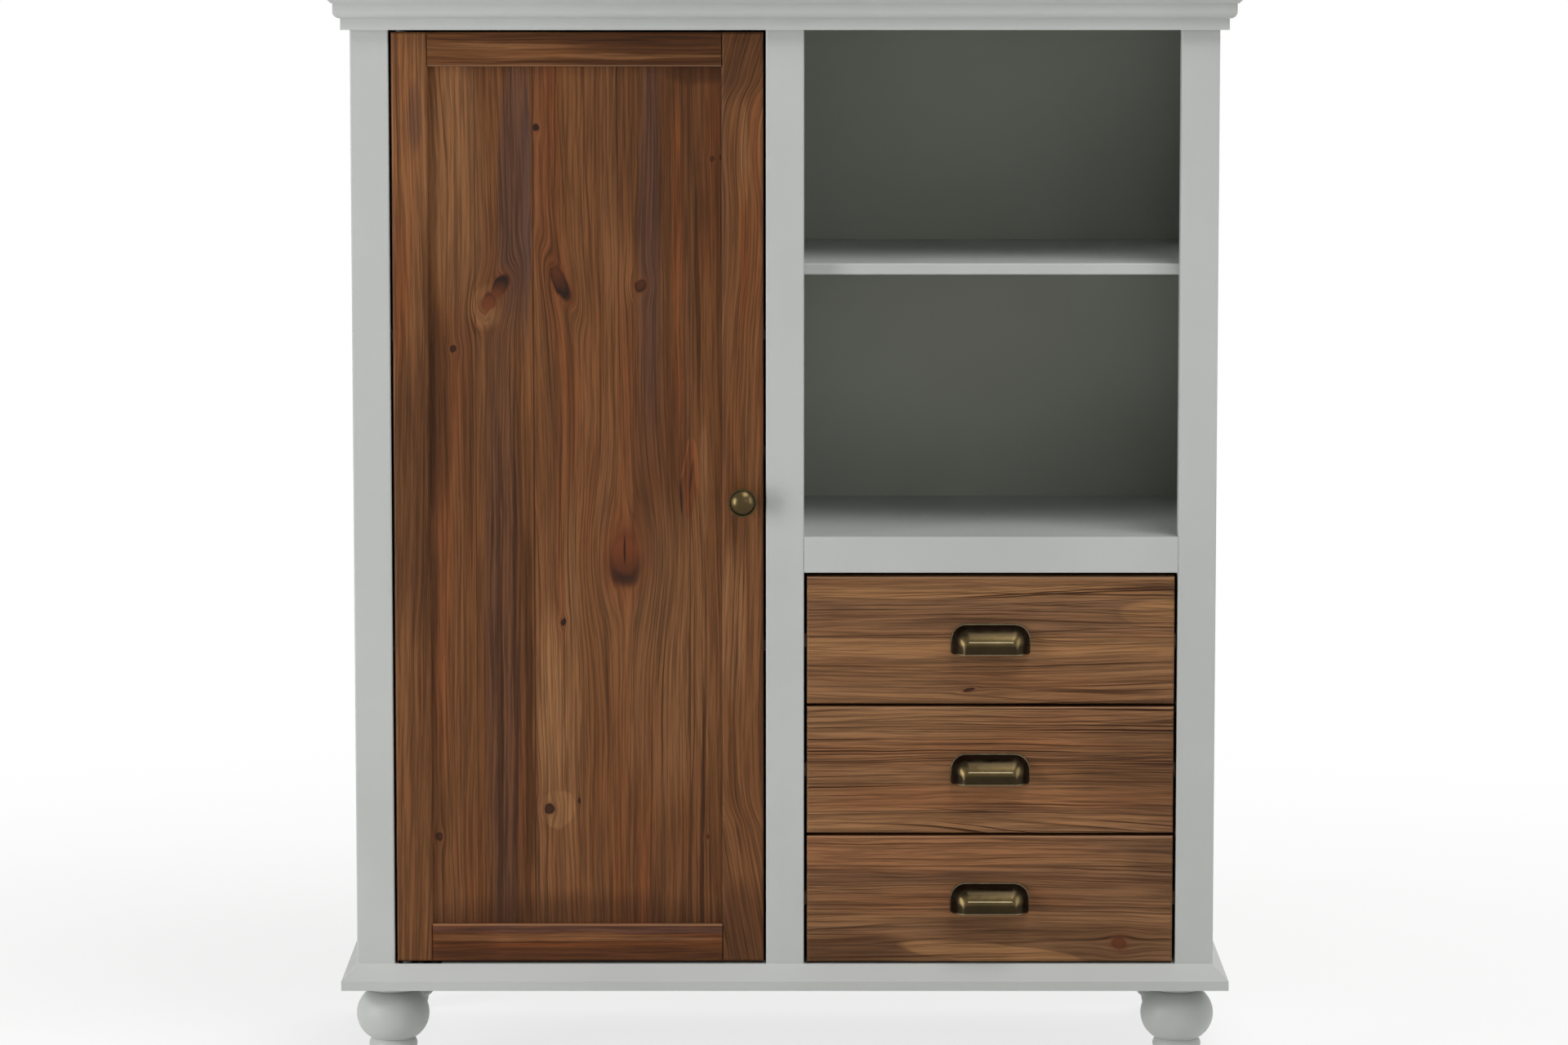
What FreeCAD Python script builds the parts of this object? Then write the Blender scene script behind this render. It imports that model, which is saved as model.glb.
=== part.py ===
import FreeCAD, Part
import os

import Sketcher

# A highboard: a painted case on four turned feet, with a framed wooden door on
# the left, and an open niche over three wooden drawers on the right.
# Millimetres. The front faces -Y, +X is to the right seen from the front, +Z is up,
# and the origin is on the floor, under the middle of the overall box.

SIZES = {
    # The case as a whole
    "carcass_width": 908,
    "carcass_depth": 370,
    "opening_height": 990,
    "side_thickness": 16,
    "stile_width": 40,
    "stile_thickness": 20,
    "stile_easing": 1.5,
    "back_thickness": 5,
    "rebate_width": 8,
    # The base board and the feet
    "base_thickness": 26,
    "base_overhang": 16,
    "base_bevel": 16,
    "foot_height": 90,
    "foot_inset": 40,
    "foot_side_inset": 35,
    "foot_collar_radius": 27,
    "foot_collar_height": 8,
    "foot_neck_radius": 22.8,
    "foot_ball_height": 53,
    "foot_ball_rounding": 30,
    "foot_bead_height": 15,
    "foot_bead_rounding": 9,
    "foot_ankle_radius": 20,
    "foot_toe_radius": 17,
    "bolt_diameter": 8,
    "bolt_length": 46,
    "bolt_in_base": 16,
    # The top board and the cornice under it
    "top_thickness": 20,
    "top_overhang": 24,
    "top_chamfer": 6,
    "top_rounding": 3,
    "moulding_height": 28,
    "moulding_overhang": 16.5,
    "fascia_overhang": 9,
    "fascia_height": 12,
    "mitre_margin": 5,
    # The niche and the shelves
    "drawer_bay_height": 419,
    "niche_rail_height": 38,
    "niche_floor_thickness": 16,
    "shelf_thickness": 12,
    "shelf_setback": 2,
    "shelf_gap": 0.8,
    "shelf_easing": 1.5,
    "niche_shelf_level": 287,
    "upper_shelf_level": 674,
    "lower_shelf_level": 344,
    "pin_diameter": 5,
    "pin_depth": 7,
    "pin_reach": 9,
    "pin_inset": 45,
    "pin_pitch": 32,
    # The door, its pivots, its catch and its knob
    "front_setback": 1,
    "door_gap": 2.5,
    "door_thickness": 20,
    "door_easing": 3,
    "hinge_stile_width": 38,
    "knob_stile_width": 44,
    "top_rail_width": 36,
    "bottom_rail_width": 40,
    "panel_thickness": 8,
    "panel_recess": 6,
    "groove_depth": 10,
    "panel_play": 0.5,
    "pivot_inset": 10,
    "pivot_depth": 8,
    "pivot_pin_diameter": 6,
    "pivot_clearance": 0.05,
    "pivot_play": 0.2,
    "bush_diameter": 9,
    "bush_length": 16,
    "collar_diameter": 12,
    "plate_thickness": 2.5,
    "plate_width": 14,
    "plate_heel": 9,
    "plate_reach": 37,
    "plate_screw_first": 14,
    "plate_screw_second": 29,
    "knob_radius": 15,
    "knob_reach": 26,
    "knob_flange_radius": 7,
    "knob_flange_height": 2,
    "knob_neck_radius": 5,
    "knob_neck_height": 11,
    "knob_flare_height": 6,
    "knob_flare_rounding": 14,
    "knob_bead_height": 3,
    "knob_bead_width": 1.6,
    "knob_groove_depth": 0.8,
    "knob_bite": 12,
    "catch_rise": 50,
    "catch_height": 14,
    "catch_depth": 18,
    "catch_gap": 0.3,
    "catch_flange": 3,
    "catch_flange_depth": 30,
    "catch_screw_spacing": 16,
    "strike_width": 14,
    "strike_height": 30,
    "strike_thickness": 2,
    "strike_inset": 4,
    "spike_diameter": 3,
    "spike_length": 8,
    # The drawers and their runners
    "drawer_gap": 3,
    "drawer_head_gap": 4.5,
    "drawer_foot_gap": 2,
    "drawer_front_thickness": 20,
    "drawer_easing": 3,
    "housing_depth": 6,
    "box_clearance": 6,
    "box_side_thickness": 14,
    "box_back_thickness": 12,
    "box_back_inset": 8,
    "box_back_housing": 5,
    "box_back_clearance": 24,
    "box_lift": 10,
    "box_drop": 16,
    "bottom_thickness": 4,
    "bottom_lift": 8,
    "bottom_housing": 6,
    "runner_height": 14,
    "runner_groove_depth": 7,
    "runner_play": 0.5,
    "runner_lift_play": 0.2,
    "runner_setback": 1,
    "runner_screw_seat": 8,
    "runner_screw_inset": 60,
    # The cup pulls
    "pull_width": 84,
    "pull_height": 32,
    "pull_depth": 23,
    "pull_corner": 17,
    "pull_rim": 2.5,
    "pull_rim_thickness": 1.6,
    "pull_wall": 1.8,
    "pull_rounding": 12,
    "pull_rise": 2,
    "pull_screw_spacing": 64,
    "pull_boss_level": 13,
    "pull_boss_length": 13,
    "pull_bite": 11,
    # Dowels and screws
    "dowel_diameter": 8,
    "dowel_length": 30,
    "dowel_bite": 10,
    "dowel_inset": 60,
    "screw_diameter": 3.5,
    "screw_head_diameter": 7,
    "screw_head_height": 2,
    "screw_length": 16,
    "counterbore": 8,
    "back_screw_margin": 40,
    "bolt_head_diameter": 8,
    "bolt_head_height": 2.4,
    "bolt_shank_diameter": 4,
}

TOUCH = 0.001
DRAWERS = ("lower", "middle", "upper")
BACK_SCREW_ROWS = 4

doc = FreeCAD.newDocument("highboard")
sheet = doc.addObject("Spreadsheet::Sheet", "dims")
for row, (alias, size) in enumerate(SIZES.items(), start=1):
    sheet.set(f"A{row}", alias)
    sheet.set(f"B{row}", str(size))
    sheet.setAlias(f"B{row}", alias)
doc.recompute()

# Planes of the case, as formulas of the sheet

OUTER = "(dims.carcass_width / 2)"
SIDE_FACE = "(dims.carcass_width / 2 - dims.side_thickness)"
SIDE_MIDDLE = "(dims.carcass_width / 2 - dims.side_thickness / 2)"
OPENING_EDGE = "(dims.carcass_width / 2 - dims.stile_width)"
MIDDLE_EDGE = "(dims.stile_width / 2)"
PARTITION_FACE = "(dims.side_thickness / 2)"

KNOB_PROUD = "(dims.knob_reach - dims.front_setback)"
PULL_PROUD = "(dims.pull_depth - dims.front_setback)"
FRONT_PROUD = f"max(dims.top_overhang; dims.base_overhang; {KNOB_PROUD}; {PULL_PROUD})"
FRONT = f"(({FRONT_PROUD} - dims.carcass_depth) / 2)"
STILE_BACK = f"({FRONT} + dims.stile_thickness)"
STILE_MIDDLE = f"({FRONT} + dims.stile_thickness / 2)"
BACK = f"({FRONT} + dims.carcass_depth)"
BACK_FACE = f"({BACK} - dims.back_thickness)"
LEAF_FRONT = f"({FRONT} + dims.front_setback)"
DOOR_BACK = f"({LEAF_FRONT} + dims.door_thickness)"
DRAWER_BACK = f"({LEAF_FRONT} + dims.drawer_front_thickness)"

FLOOR = "(dims.foot_height + dims.base_thickness)"
HEAD = f"({FLOOR} + dims.opening_height)"
CROWN = f"({HEAD} + dims.moulding_height)"
TOP = f"({CROWN} + dims.top_thickness)"
BAY_HEAD = f"({FLOOR} + dims.drawer_bay_height)"
NICHE_FLOOR = f"({BAY_HEAD} + dims.niche_rail_height)"

# Which way a round piece points, as a turn of the vertical

AIM = {
    "+x": FreeCAD.Rotation(FreeCAD.Vector(0, 1, 0), 90),
    "-x": FreeCAD.Rotation(FreeCAD.Vector(0, 1, 0), -90),
    "+y": FreeCAD.Rotation(FreeCAD.Vector(1, 0, 0), -90),
    "-y": FreeCAD.Rotation(FreeCAD.Vector(1, 0, 0), 90),
    "+z": FreeCAD.Rotation(),
    "-z": FreeCAD.Rotation(FreeCAD.Vector(1, 0, 0), 180),
}

subparts = []


def minus(formula):
    return f"(0 - {formula})"


def number(formula):
    return float(sheet.evalExpression(formula))


def keep(piece, label):
    """Put a finished piece on the list of sub-parts."""
    piece.Label = label
    subparts.append(piece)
    return piece


def place(piece, point, turn=FreeCAD.Rotation()):
    """Turn a piece and tie its position to the sheet."""
    piece.Placement = FreeCAD.Placement(FreeCAD.Vector(), turn)
    for axis, formula in zip("xyz", point):
        piece.setExpression(f"Placement.Base.{axis}", formula)


def along(point, aim, distance):
    """The point moved by a distance the way that aim says."""
    moved = list(point)
    index = "xyz".index(aim[1])
    moved[index] = f"({point[index]} {aim[0]} {distance})"
    return tuple(moved)


def block(body, kind, name, low, high):
    """A box between two corners, added to a body or taken from it."""
    box = body.newObject(f"PartDesign::{kind}Box", name)
    for side, start, end in zip(("Length", "Width", "Height"), low, high):
        box.setExpression(side, f"{end} - {start}")
    place(box, low)
    return box


def cylinder(body, kind, name, aim, start, diameter, length):
    """A cylinder that starts at a point, added to a body or taken from it."""
    round_piece = body.newObject(f"PartDesign::{kind}Cylinder", name)
    round_piece.setExpression("Radius", f"{diameter} / 2")
    round_piece.setExpression("Height", length)
    place(round_piece, start, AIM[aim])
    return round_piece


def bare_body(label):
    return keep(doc.addObject("PartDesign::Body", label), label)


def board(label, low, high):
    """A board between two corners."""
    body = bare_body(label)
    block(body, "Additive", "blank", low, high)
    return body


def trench(body, name, low, high):
    return block(body, "Subtractive", name, low, high)


def bore(body, aim, start, diameter, length):
    return cylinder(body, "Subtractive", "bore", aim, start, diameter, length)


def dress(body, feature, size_name, formula, chosen):
    """Round or chamfer the edges of a body that the test picks."""
    doc.recompute()
    base = body.Tip
    limits = base.Shape.BoundBox
    edges = [f"Edge{i}" for i, edge in enumerate(base.Shape.Edges, start=1) if chosen(edge, limits)]
    dressed = body.newObject(f"PartDesign::{feature}", "edges")
    dressed.Base = (base, edges)
    dressed.setExpression(size_name, formula)
    return dressed


def on_front(edge, limits):
    return edge.BoundBox.YMax < limits.YMin + TOUCH


def upright_on_front(edge, limits):
    return on_front(edge, limits) and edge.BoundBox.ZLength > TOUCH


def not_on_back(edge, limits):
    return edge.CenterOfMass.y < limits.YMax - TOUCH


def top_rim(edge, limits):
    return edge.BoundBox.ZMin > limits.ZMax - TOUCH and not_on_back(edge, limits)


def bottom_rim(edge, limits):
    return edge.BoundBox.ZMax < limits.ZMin + TOUCH and not_on_back(edge, limits)


def arc_middle(start, end, radius, turn):
    """The middle of an arc of under a half circle, which turns left (1) or right (-1)."""
    chord = end - start
    rise = radius - (radius**2 - (chord.Length / 2) ** 2) ** 0.5
    outward = FreeCAD.Vector(chord.y, -chord.x, 0) * (turn / chord.Length)
    return (start + end) / 2 + outward * rise


def pin_down(sketch, geometry, end, point):
    """Tie one end of a line or arc to its formulas."""
    ways = (("DistanceX", -2), ("DistanceY", -1))
    for formula, (way, axis) in zip(point, ways):
        if formula == "0":
            sketch.addConstraint(Sketcher.Constraint("PointOnObject", geometry, end, axis))
        else:
            tie = Sketcher.Constraint(way, -1, 1, geometry, end, number(formula))
            index = sketch.addConstraint(tie)
            sketch.setExpression(f"Constraints[{index}]", formula)


def outline(body, steps):
    """A closed sketch on the body's XZ plane. A step is the point that a line goes to,
    or that an arc goes to, with the arc's radius and turn. The last step is the start."""
    sketch = body.newObject("Sketcher::SketchObject", "outline")
    plane = next(item for item in body.Origin.OriginFeatures if item.Role == "XZ_Plane")
    sketch.AttachmentSupport = [(plane, "")]
    sketch.MapMode = "FlatFace"
    corners = [FreeCAD.Vector(number(step[0]), number(step[1]), 0) for step in steps]
    runs = []
    for step, here, there in zip(steps, corners[-1:] + corners[:-1], corners):
        if len(step) == 2:
            geometry = sketch.addGeometry(Part.LineSegment(here, there))
            runs.append((geometry, 1, 2))
        else:
            middle = arc_middle(here, there, number(step[2]), step[3])
            geometry = sketch.addGeometry(Part.Arc(here, middle, there))
            first = 1 if sketch.getPoint(geometry, 1).distanceToPoint(here) < TOUCH else 2
            runs.append((geometry, first, 3 - first))
            radius = sketch.addConstraint(Sketcher.Constraint("Radius", geometry, number(step[2])))
            sketch.setExpression(f"Constraints[{radius}]", step[2])
    for (geometry, _, last), (following, first, _) in zip(runs, runs[1:] + runs[:1]):
        sketch.addConstraint(Sketcher.Constraint("Coincident", geometry, last, following, first))
    for (geometry, _, last), step in zip(runs, steps):
        pin_down(sketch, geometry, last, step[:2])
    return sketch


def extrude(body, sketch, length, backwards):
    pad = body.newObject("PartDesign::Pad", "bar")
    pad.Profile = sketch
    pad.Reversed = backwards
    pad.setExpression("Length", length)
    return pad


def lathe(body, steps):
    """A turned solid: the outline gives radius and height."""
    sketch = outline(body, steps)
    turned = body.newObject("PartDesign::Revolution", "turning")
    turned.Profile = sketch
    turned.ReferenceAxis = (sketch, ["V_Axis"])
    turned.Angle = 360
    return turned


def rod(aim, start, diameter, length):
    """A plain cylinder that stands alone or joins a group."""
    plain = doc.addObject("Part::Cylinder", "rod")
    plain.setExpression("Radius", f"{diameter} / 2")
    plain.setExpression("Height", length)
    place(plain, start, AIM[aim])
    return plain


def group(label, pieces):
    """Separate solids of one kind that share a node."""
    together = doc.addObject("Part::Compound", label)
    together.Links = pieces
    return keep(together, label)


# Fasteners: each one cuts its own hole in the pieces that it goes through

dowels = []
screws = []


def dowel(aim, start, *bodies):
    dowels.append(rod(aim, start, "dims.dowel_diameter", "dims.dowel_length"))
    for body in bodies:
        bore(body, aim, start, "dims.dowel_diameter", "dims.dowel_length")


def wood_screw(aim, head, through, into):
    """A countersunk screw, flush at its head point."""
    shank_start = along(head, aim, "dims.screw_head_height")
    shank_length = "(dims.screw_length - dims.screw_head_height)"
    cone = doc.addObject("Part::Cone", "screw_head")
    sink = through.newObject("PartDesign::SubtractiveCone", "countersink")
    for taper in (cone, sink):
        taper.setExpression("Radius1", "dims.screw_head_diameter / 2")
        taper.setExpression("Radius2", "dims.screw_diameter / 2")
        taper.setExpression("Height", "dims.screw_head_height")
        place(taper, head, AIM[aim])
    shank = rod(aim, shank_start, "dims.screw_diameter", shank_length)
    whole = doc.addObject("Part::MultiFuse", "screw")
    whole.Shapes = [cone, shank]
    screws.append(whole)
    for body in (through, into):
        bore(body, aim, shank_start, "dims.screw_diameter", shank_length)


def machine_screw(seat, through, thickness, bite):
    """A flat-headed screw whose head lies behind a front, driven towards the user."""
    length = f"({thickness} + {bite})"
    shank = rod("-y", seat, "dims.bolt_shank_diameter", length)
    head = rod("+y", seat, "dims.bolt_head_diameter", "dims.bolt_head_height")
    whole = doc.addObject("Part::MultiFuse", "machine_screw")
    whole.Shapes = [shank, head]
    bore(through, "-y", seat, "dims.bolt_shank_diameter", length)
    return whole


# The case: base board, sides, partition, stiles, top rail and top board

base_board = board(
    "base_board",
    (f"({minus(OUTER)} - dims.base_overhang)", f"({FRONT} - dims.base_overhang)", "dims.foot_height"),
    (f"({OUTER} + dims.base_overhang)", BACK, FLOOR),
)
dress(base_board, "Chamfer", "Size", "dims.base_bevel", top_rim)

top_board = board(
    "top_board",
    (f"({minus(OUTER)} - dims.top_overhang)", f"({FRONT} - dims.top_overhang)", CROWN),
    (f"({OUTER} + dims.top_overhang)", BACK, TOP),
)
dress(top_board, "Chamfer", "Size", "dims.top_chamfer", bottom_rim)
dress(top_board, "Fillet", "Radius", "dims.top_rounding", top_rim)

side_panel_left = board(
    "side_panel_left",
    (minus(OUTER), STILE_BACK, FLOOR),
    (minus(SIDE_FACE), BACK, CROWN),
)
trench(
    side_panel_left,
    "rebate",
    (f"({minus(SIDE_FACE)} - dims.rebate_width)", BACK_FACE, FLOOR),
    (minus(SIDE_FACE), BACK, CROWN),
)

side_panel_right = board(
    "side_panel_right",
    (SIDE_FACE, STILE_BACK, FLOOR),
    (OUTER, BACK, CROWN),
)
trench(
    side_panel_right,
    "rebate",
    (SIDE_FACE, BACK_FACE, FLOOR),
    (f"({SIDE_FACE} + dims.rebate_width)", BACK, CROWN),
)

partition = board(
    "partition",
    (minus(PARTITION_FACE), STILE_BACK, FLOOR),
    (PARTITION_FACE, BACK_FACE, CROWN),
)

top_rail = board("top_rail", (minus(OUTER), FRONT, HEAD), (OUTER, STILE_BACK, CROWN))

stile_spans = {
    "stile_left": (minus(OUTER), minus(OPENING_EDGE)),
    "stile_centre": (minus(MIDDLE_EDGE), MIDDLE_EDGE),
    "stile_right": (OPENING_EDGE, OUTER),
}
stiles = {}
for label, (left, right) in stile_spans.items():
    stile = board(label, (left, FRONT, FLOOR), (right, STILE_BACK, HEAD))
    dress(stile, "Fillet", "Radius", "dims.stile_easing", upright_on_front)
    middle = f"(({left} + {right}) / 2)"
    foot_end = f"({FLOOR} - dims.dowel_bite)"
    head_end = f"({HEAD} + dims.dowel_bite - dims.dowel_length)"
    dowel("+z", (middle, STILE_MIDDLE, foot_end), base_board, stile)
    dowel("+z", (middle, STILE_MIDDLE, head_end), stile, top_rail)
    stiles[label] = stile

uprights = (
    (side_panel_left, minus(SIDE_MIDDLE)),
    (partition, "0"),
    (side_panel_right, SIDE_MIDDLE),
)
DOWEL_ROWS = (f"({STILE_BACK} + dims.dowel_inset)", f"({BACK_FACE} - dims.dowel_inset)")
for upright, middle in uprights:
    for depth in DOWEL_ROWS:
        dowel("+z", (middle, depth, f"({FLOOR} - dims.dowel_bite)"), base_board, upright)
        head_end = f"({CROWN} + dims.dowel_bite - dims.dowel_length)"
        dowel("+z", (middle, depth, head_end), upright, top_board)

for middle in (minus(f"{OUTER} / 2"), f"({OUTER} / 2)"):
    head_end = f"({CROWN} + dims.dowel_bite - dims.dowel_length)"
    dowel("+z", (middle, STILE_MIDDLE, head_end), top_rail, top_board)

back_panel = board(
    "back_panel",
    (f"({minus(SIDE_FACE)} - dims.rebate_width)", BACK_FACE, FLOOR),
    (f"({SIDE_FACE} + dims.rebate_width)", BACK, CROWN),
)
BACK_SCREW_LINES = (
    (minus(f"({SIDE_FACE} + dims.rebate_width / 2)"), side_panel_left),
    ("0", partition),
    (f"({SIDE_FACE} + dims.rebate_width / 2)", side_panel_right),
)
for line, upright in BACK_SCREW_LINES:
    for row in range(BACK_SCREW_ROWS):
        share = f"{row} / {BACK_SCREW_ROWS - 1}"
        rise = f"({CROWN} - {FLOOR} - 2 * dims.back_screw_margin) * {share}"
        level = f"({FLOOR} + dims.back_screw_margin + {rise})"
        wood_screw("-y", (line, BACK, level), back_panel, upright)

# The cornice: three lengths of one moulding, mitred at the front corners

OVOLO_RADIUS = "(dims.moulding_overhang - dims.fascia_overhang)"
MITRE_BACK = "(0 - 2 * dims.mitre_margin)"


def mitre(body, near, far):
    """Cut a moulding's end at 45 degrees. The cut spans from its near to its far end,
    and is widest at the near one."""
    cut = body.newObject("PartDesign::SubtractiveWedge", "mitre")
    wide_end = "(dims.moulding_overhang + dims.mitre_margin)"
    narrow_end = "(0 - dims.mitre_margin)"
    at_start = number(near) < number(far)
    cut.setExpression("Ymin", near if at_start else far)
    cut.setExpression("Ymax", far if at_start else near)
    cut.setExpression("Xmin", MITRE_BACK)
    cut.setExpression("X2min", MITRE_BACK)
    cut.setExpression("Xmax", wide_end if at_start else narrow_end)
    cut.setExpression("X2max", narrow_end if at_start else wide_end)
    for name in ("Zmin", "Z2min"):
        cut.setExpression(name, "0 - dims.mitre_margin")
    for name in ("Zmax", "Z2max"):
        cut.setExpression(name, "dims.moulding_height + dims.mitre_margin")


def cornice(label, corner, angle, length, mitred_start, mitred_end):
    """One length: a fascia, an ovolo over it and a flat fillet on top."""
    body = bare_body(label)
    ovolo_top = f"(dims.fascia_height + {OVOLO_RADIUS})"
    section = outline(body, [
        ("dims.fascia_overhang", "0"),
        ("dims.fascia_overhang", "dims.fascia_height"),
        ("dims.moulding_overhang", ovolo_top, OVOLO_RADIUS, 1),
        ("dims.moulding_overhang", "dims.moulding_height"),
        ("0", "dims.moulding_height"),
        ("0", "0"),
    ])
    extrude(body, section, length, backwards=True)
    reach = "(dims.moulding_overhang + dims.mitre_margin)"
    if mitred_start:
        mitre(body, "(0 - dims.mitre_margin)", reach)
    if mitred_end:
        mitre(body, f"({length} + dims.mitre_margin)", f"({length} - {reach})")
    place(body, corner, FreeCAD.Rotation(FreeCAD.Vector(0, 0, 1), angle))
    return body


SIDE_RUN = "(dims.carcass_depth + dims.moulding_overhang)"
FRONT_RUN = "(dims.carcass_width + 2 * dims.moulding_overhang)"
MITRE_TIP = f"({FRONT} - dims.moulding_overhang)"
cornice("cornice_right", (OUTER, MITRE_TIP, HEAD), 0, SIDE_RUN, True, False)
cornice("cornice_left", (minus(OUTER), BACK, HEAD), 180, SIDE_RUN, False, True)
FRONT_START = f"({minus(OUTER)} - dims.moulding_overhang)"
cornice("cornice_front", (FRONT_START, FRONT, HEAD), -90, FRONT_RUN, True, True)

# The feet: a collar, a ball, a bead and a tapered toe, each held by a bolt in the base board

FOOT_SHOULDER = "(dims.foot_height - dims.foot_collar_height)"
FOOT_NECK = f"({FOOT_SHOULDER} - dims.foot_ball_height)"
FOOT_ANKLE = f"({FOOT_NECK} - dims.foot_bead_height)"
FOOT_OUT = "(dims.carcass_width / 2 - dims.foot_side_inset)"
bolts = []
for label, x, y in (
    ("foot_front_left", minus(FOOT_OUT), f"({FRONT} + dims.foot_inset)"),
    ("foot_front_right", FOOT_OUT, f"({FRONT} + dims.foot_inset)"),
    ("foot_back_left", minus(FOOT_OUT), f"({BACK} - dims.foot_inset)"),
    ("foot_back_right", FOOT_OUT, f"({BACK} - dims.foot_inset)"),
):
    foot = bare_body(label)
    lathe(foot, [
        ("dims.foot_toe_radius", "0"),
        ("dims.foot_ankle_radius", FOOT_ANKLE),
        ("dims.foot_neck_radius", FOOT_NECK, "dims.foot_bead_rounding", 1),
        ("dims.foot_neck_radius", FOOT_SHOULDER, "dims.foot_ball_rounding", 1),
        ("dims.foot_collar_radius", FOOT_SHOULDER),
        ("dims.foot_collar_radius", "dims.foot_height"),
        ("0", "dims.foot_height"),
        ("0", "0"),
    ])
    bolt_low = "(dims.foot_height + dims.bolt_in_base - dims.bolt_length)"
    bore(foot, "+z", ("0", "0", bolt_low), "dims.bolt_diameter", "dims.bolt_length")
    bore(base_board, "+z", (x, y, bolt_low), "dims.bolt_diameter", "dims.bolt_length")
    bolts.append(rod("+z", (x, y, bolt_low), "dims.bolt_diameter", "dims.bolt_length"))
    place(foot, (x, y, "0"))
group("foot_bolts", bolts)

# The niche: its floor, the rail in front of it, and the loose shelves on pins

niche_floor = board(
    "niche_floor",
    (PARTITION_FACE, STILE_BACK, f"({NICHE_FLOOR} - dims.niche_floor_thickness)"),
    (SIDE_FACE, BACK_FACE, NICHE_FLOOR),
)
floor_middle = f"({NICHE_FLOOR} - dims.niche_floor_thickness / 2)"
for depth in DOWEL_ROWS:
    left_end = f"({PARTITION_FACE} - dims.dowel_bite)"
    right_end = f"({SIDE_FACE} + dims.dowel_bite - dims.dowel_length)"
    dowel("+x", (left_end, depth, floor_middle), partition, niche_floor)
    dowel("+x", (right_end, depth, floor_middle), niche_floor, side_panel_right)

niche_rail = board(
    "niche_rail",
    (MIDDLE_EDGE, FRONT, BAY_HEAD),
    (OPENING_EDGE, STILE_BACK, NICHE_FLOOR),
)
rail_middle = f"({NICHE_FLOOR} - dims.niche_rail_height / 2)"
left_end = f"({MIDDLE_EDGE} - dims.dowel_bite)"
right_end = f"({OPENING_EDGE} + dims.dowel_bite - dims.dowel_length)"
dowel("+x", (left_end, STILE_MIDDLE, rail_middle), stiles["stile_centre"], niche_rail)
dowel("+x", (right_end, STILE_MIDDLE, rail_middle), niche_rail, stiles["stile_right"])

pins = []


def shelf(label, left_wall, left_face, right_wall, right_face, front, top):
    """A loose shelf between two walls, on four pins, with spare holes above and below."""
    low = f"({top} - dims.shelf_thickness)"
    back = f"({BACK_FACE} - dims.shelf_gap)"
    body = board(
        label,
        (f"({left_face} + dims.shelf_gap)", front, low),
        (f"({right_face} - dims.shelf_gap)", back, top),
    )
    dress(body, "Fillet", "Radius", "dims.shelf_easing", on_front)
    level = f"({low} - dims.pin_diameter / 2)"
    length = "(dims.pin_depth + dims.pin_reach)"
    starts = (
        (left_wall, f"({left_face} - dims.pin_depth)"),
        (right_wall, f"({right_face} - dims.pin_reach)"),
    )
    for wall, start in starts:
        for depth in (f"({front} + dims.pin_inset)", f"({back} - dims.pin_inset)"):
            for step in (-1, 0, 1):
                spot = (start, depth, f"({level} + {step} * dims.pin_pitch)")
                bore(wall, "+x", spot, "dims.pin_diameter", length)
            pins.append(rod("+x", (start, depth, level), "dims.pin_diameter", length))


# The corner of the door behind its hinge swings inwards, so the cupboard's shelves start
# behind that sweep

HINGE_Y = f"({LEAF_FRONT} + dims.pivot_depth)"
CORNER_SWEEP = "sqrt(dims.pivot_inset ^ 2 + (dims.door_thickness - dims.pivot_depth) ^ 2)"
SWEEP_BACK = f"(max({STILE_BACK}; {HINGE_Y} + {CORNER_SWEEP}) + dims.shelf_setback)"
CUPBOARD = (side_panel_left, minus(SIDE_FACE), partition, minus(PARTITION_FACE), SWEEP_BACK)
NICHE_FRONT = f"({STILE_BACK} + dims.shelf_setback)"
NICHE = (partition, PARTITION_FACE, side_panel_right, SIDE_FACE, NICHE_FRONT)
shelf("niche_shelf", *NICHE, f"({NICHE_FLOOR} + dims.niche_shelf_level)")
shelf("cupboard_shelf_upper", *CUPBOARD, f"({FLOOR} + dims.upper_shelf_level)")
shelf("cupboard_shelf_lower", *CUPBOARD, f"({FLOOR} + dims.lower_shelf_level)")
group("shelf_pins", pins)

# The door: two stiles, two rails with stub tenons, and a panel in their grooves

DOOR_LEFT = f"(dims.door_gap - {OPENING_EDGE})"
DOOR_RIGHT = f"(0 - {MIDDLE_EDGE} - dims.door_gap)"
DOOR_LOW = f"({FLOOR} + dims.door_gap)"
DOOR_HIGH = f"({HEAD} - dims.door_gap)"
DOOR_MIDDLE = f"(({DOOR_LOW} + {DOOR_HIGH}) / 2)"
PANEL_LEFT = f"({DOOR_LEFT} + dims.hinge_stile_width)"
PANEL_RIGHT = f"({DOOR_RIGHT} - dims.knob_stile_width)"
PANEL_LOW = f"({DOOR_LOW} + dims.bottom_rail_width)"
PANEL_HIGH = f"({DOOR_HIGH} - dims.top_rail_width)"
GROOVE_FRONT = f"({LEAF_FRONT} + dims.panel_recess)"
GROOVE_BACK = f"({GROOVE_FRONT} + dims.panel_thickness)"

door_hinge_stile = board(
    "door_hinge_stile",
    (DOOR_LEFT, LEAF_FRONT, DOOR_LOW),
    (PANEL_LEFT, DOOR_BACK, DOOR_HIGH),
)
dress(door_hinge_stile, "Fillet", "Radius", "dims.door_easing", on_front)
trench(
    door_hinge_stile,
    "panel_groove",
    (f"({PANEL_LEFT} - dims.groove_depth)", GROOVE_FRONT, DOOR_LOW),
    (PANEL_LEFT, GROOVE_BACK, DOOR_HIGH),
)

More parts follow.
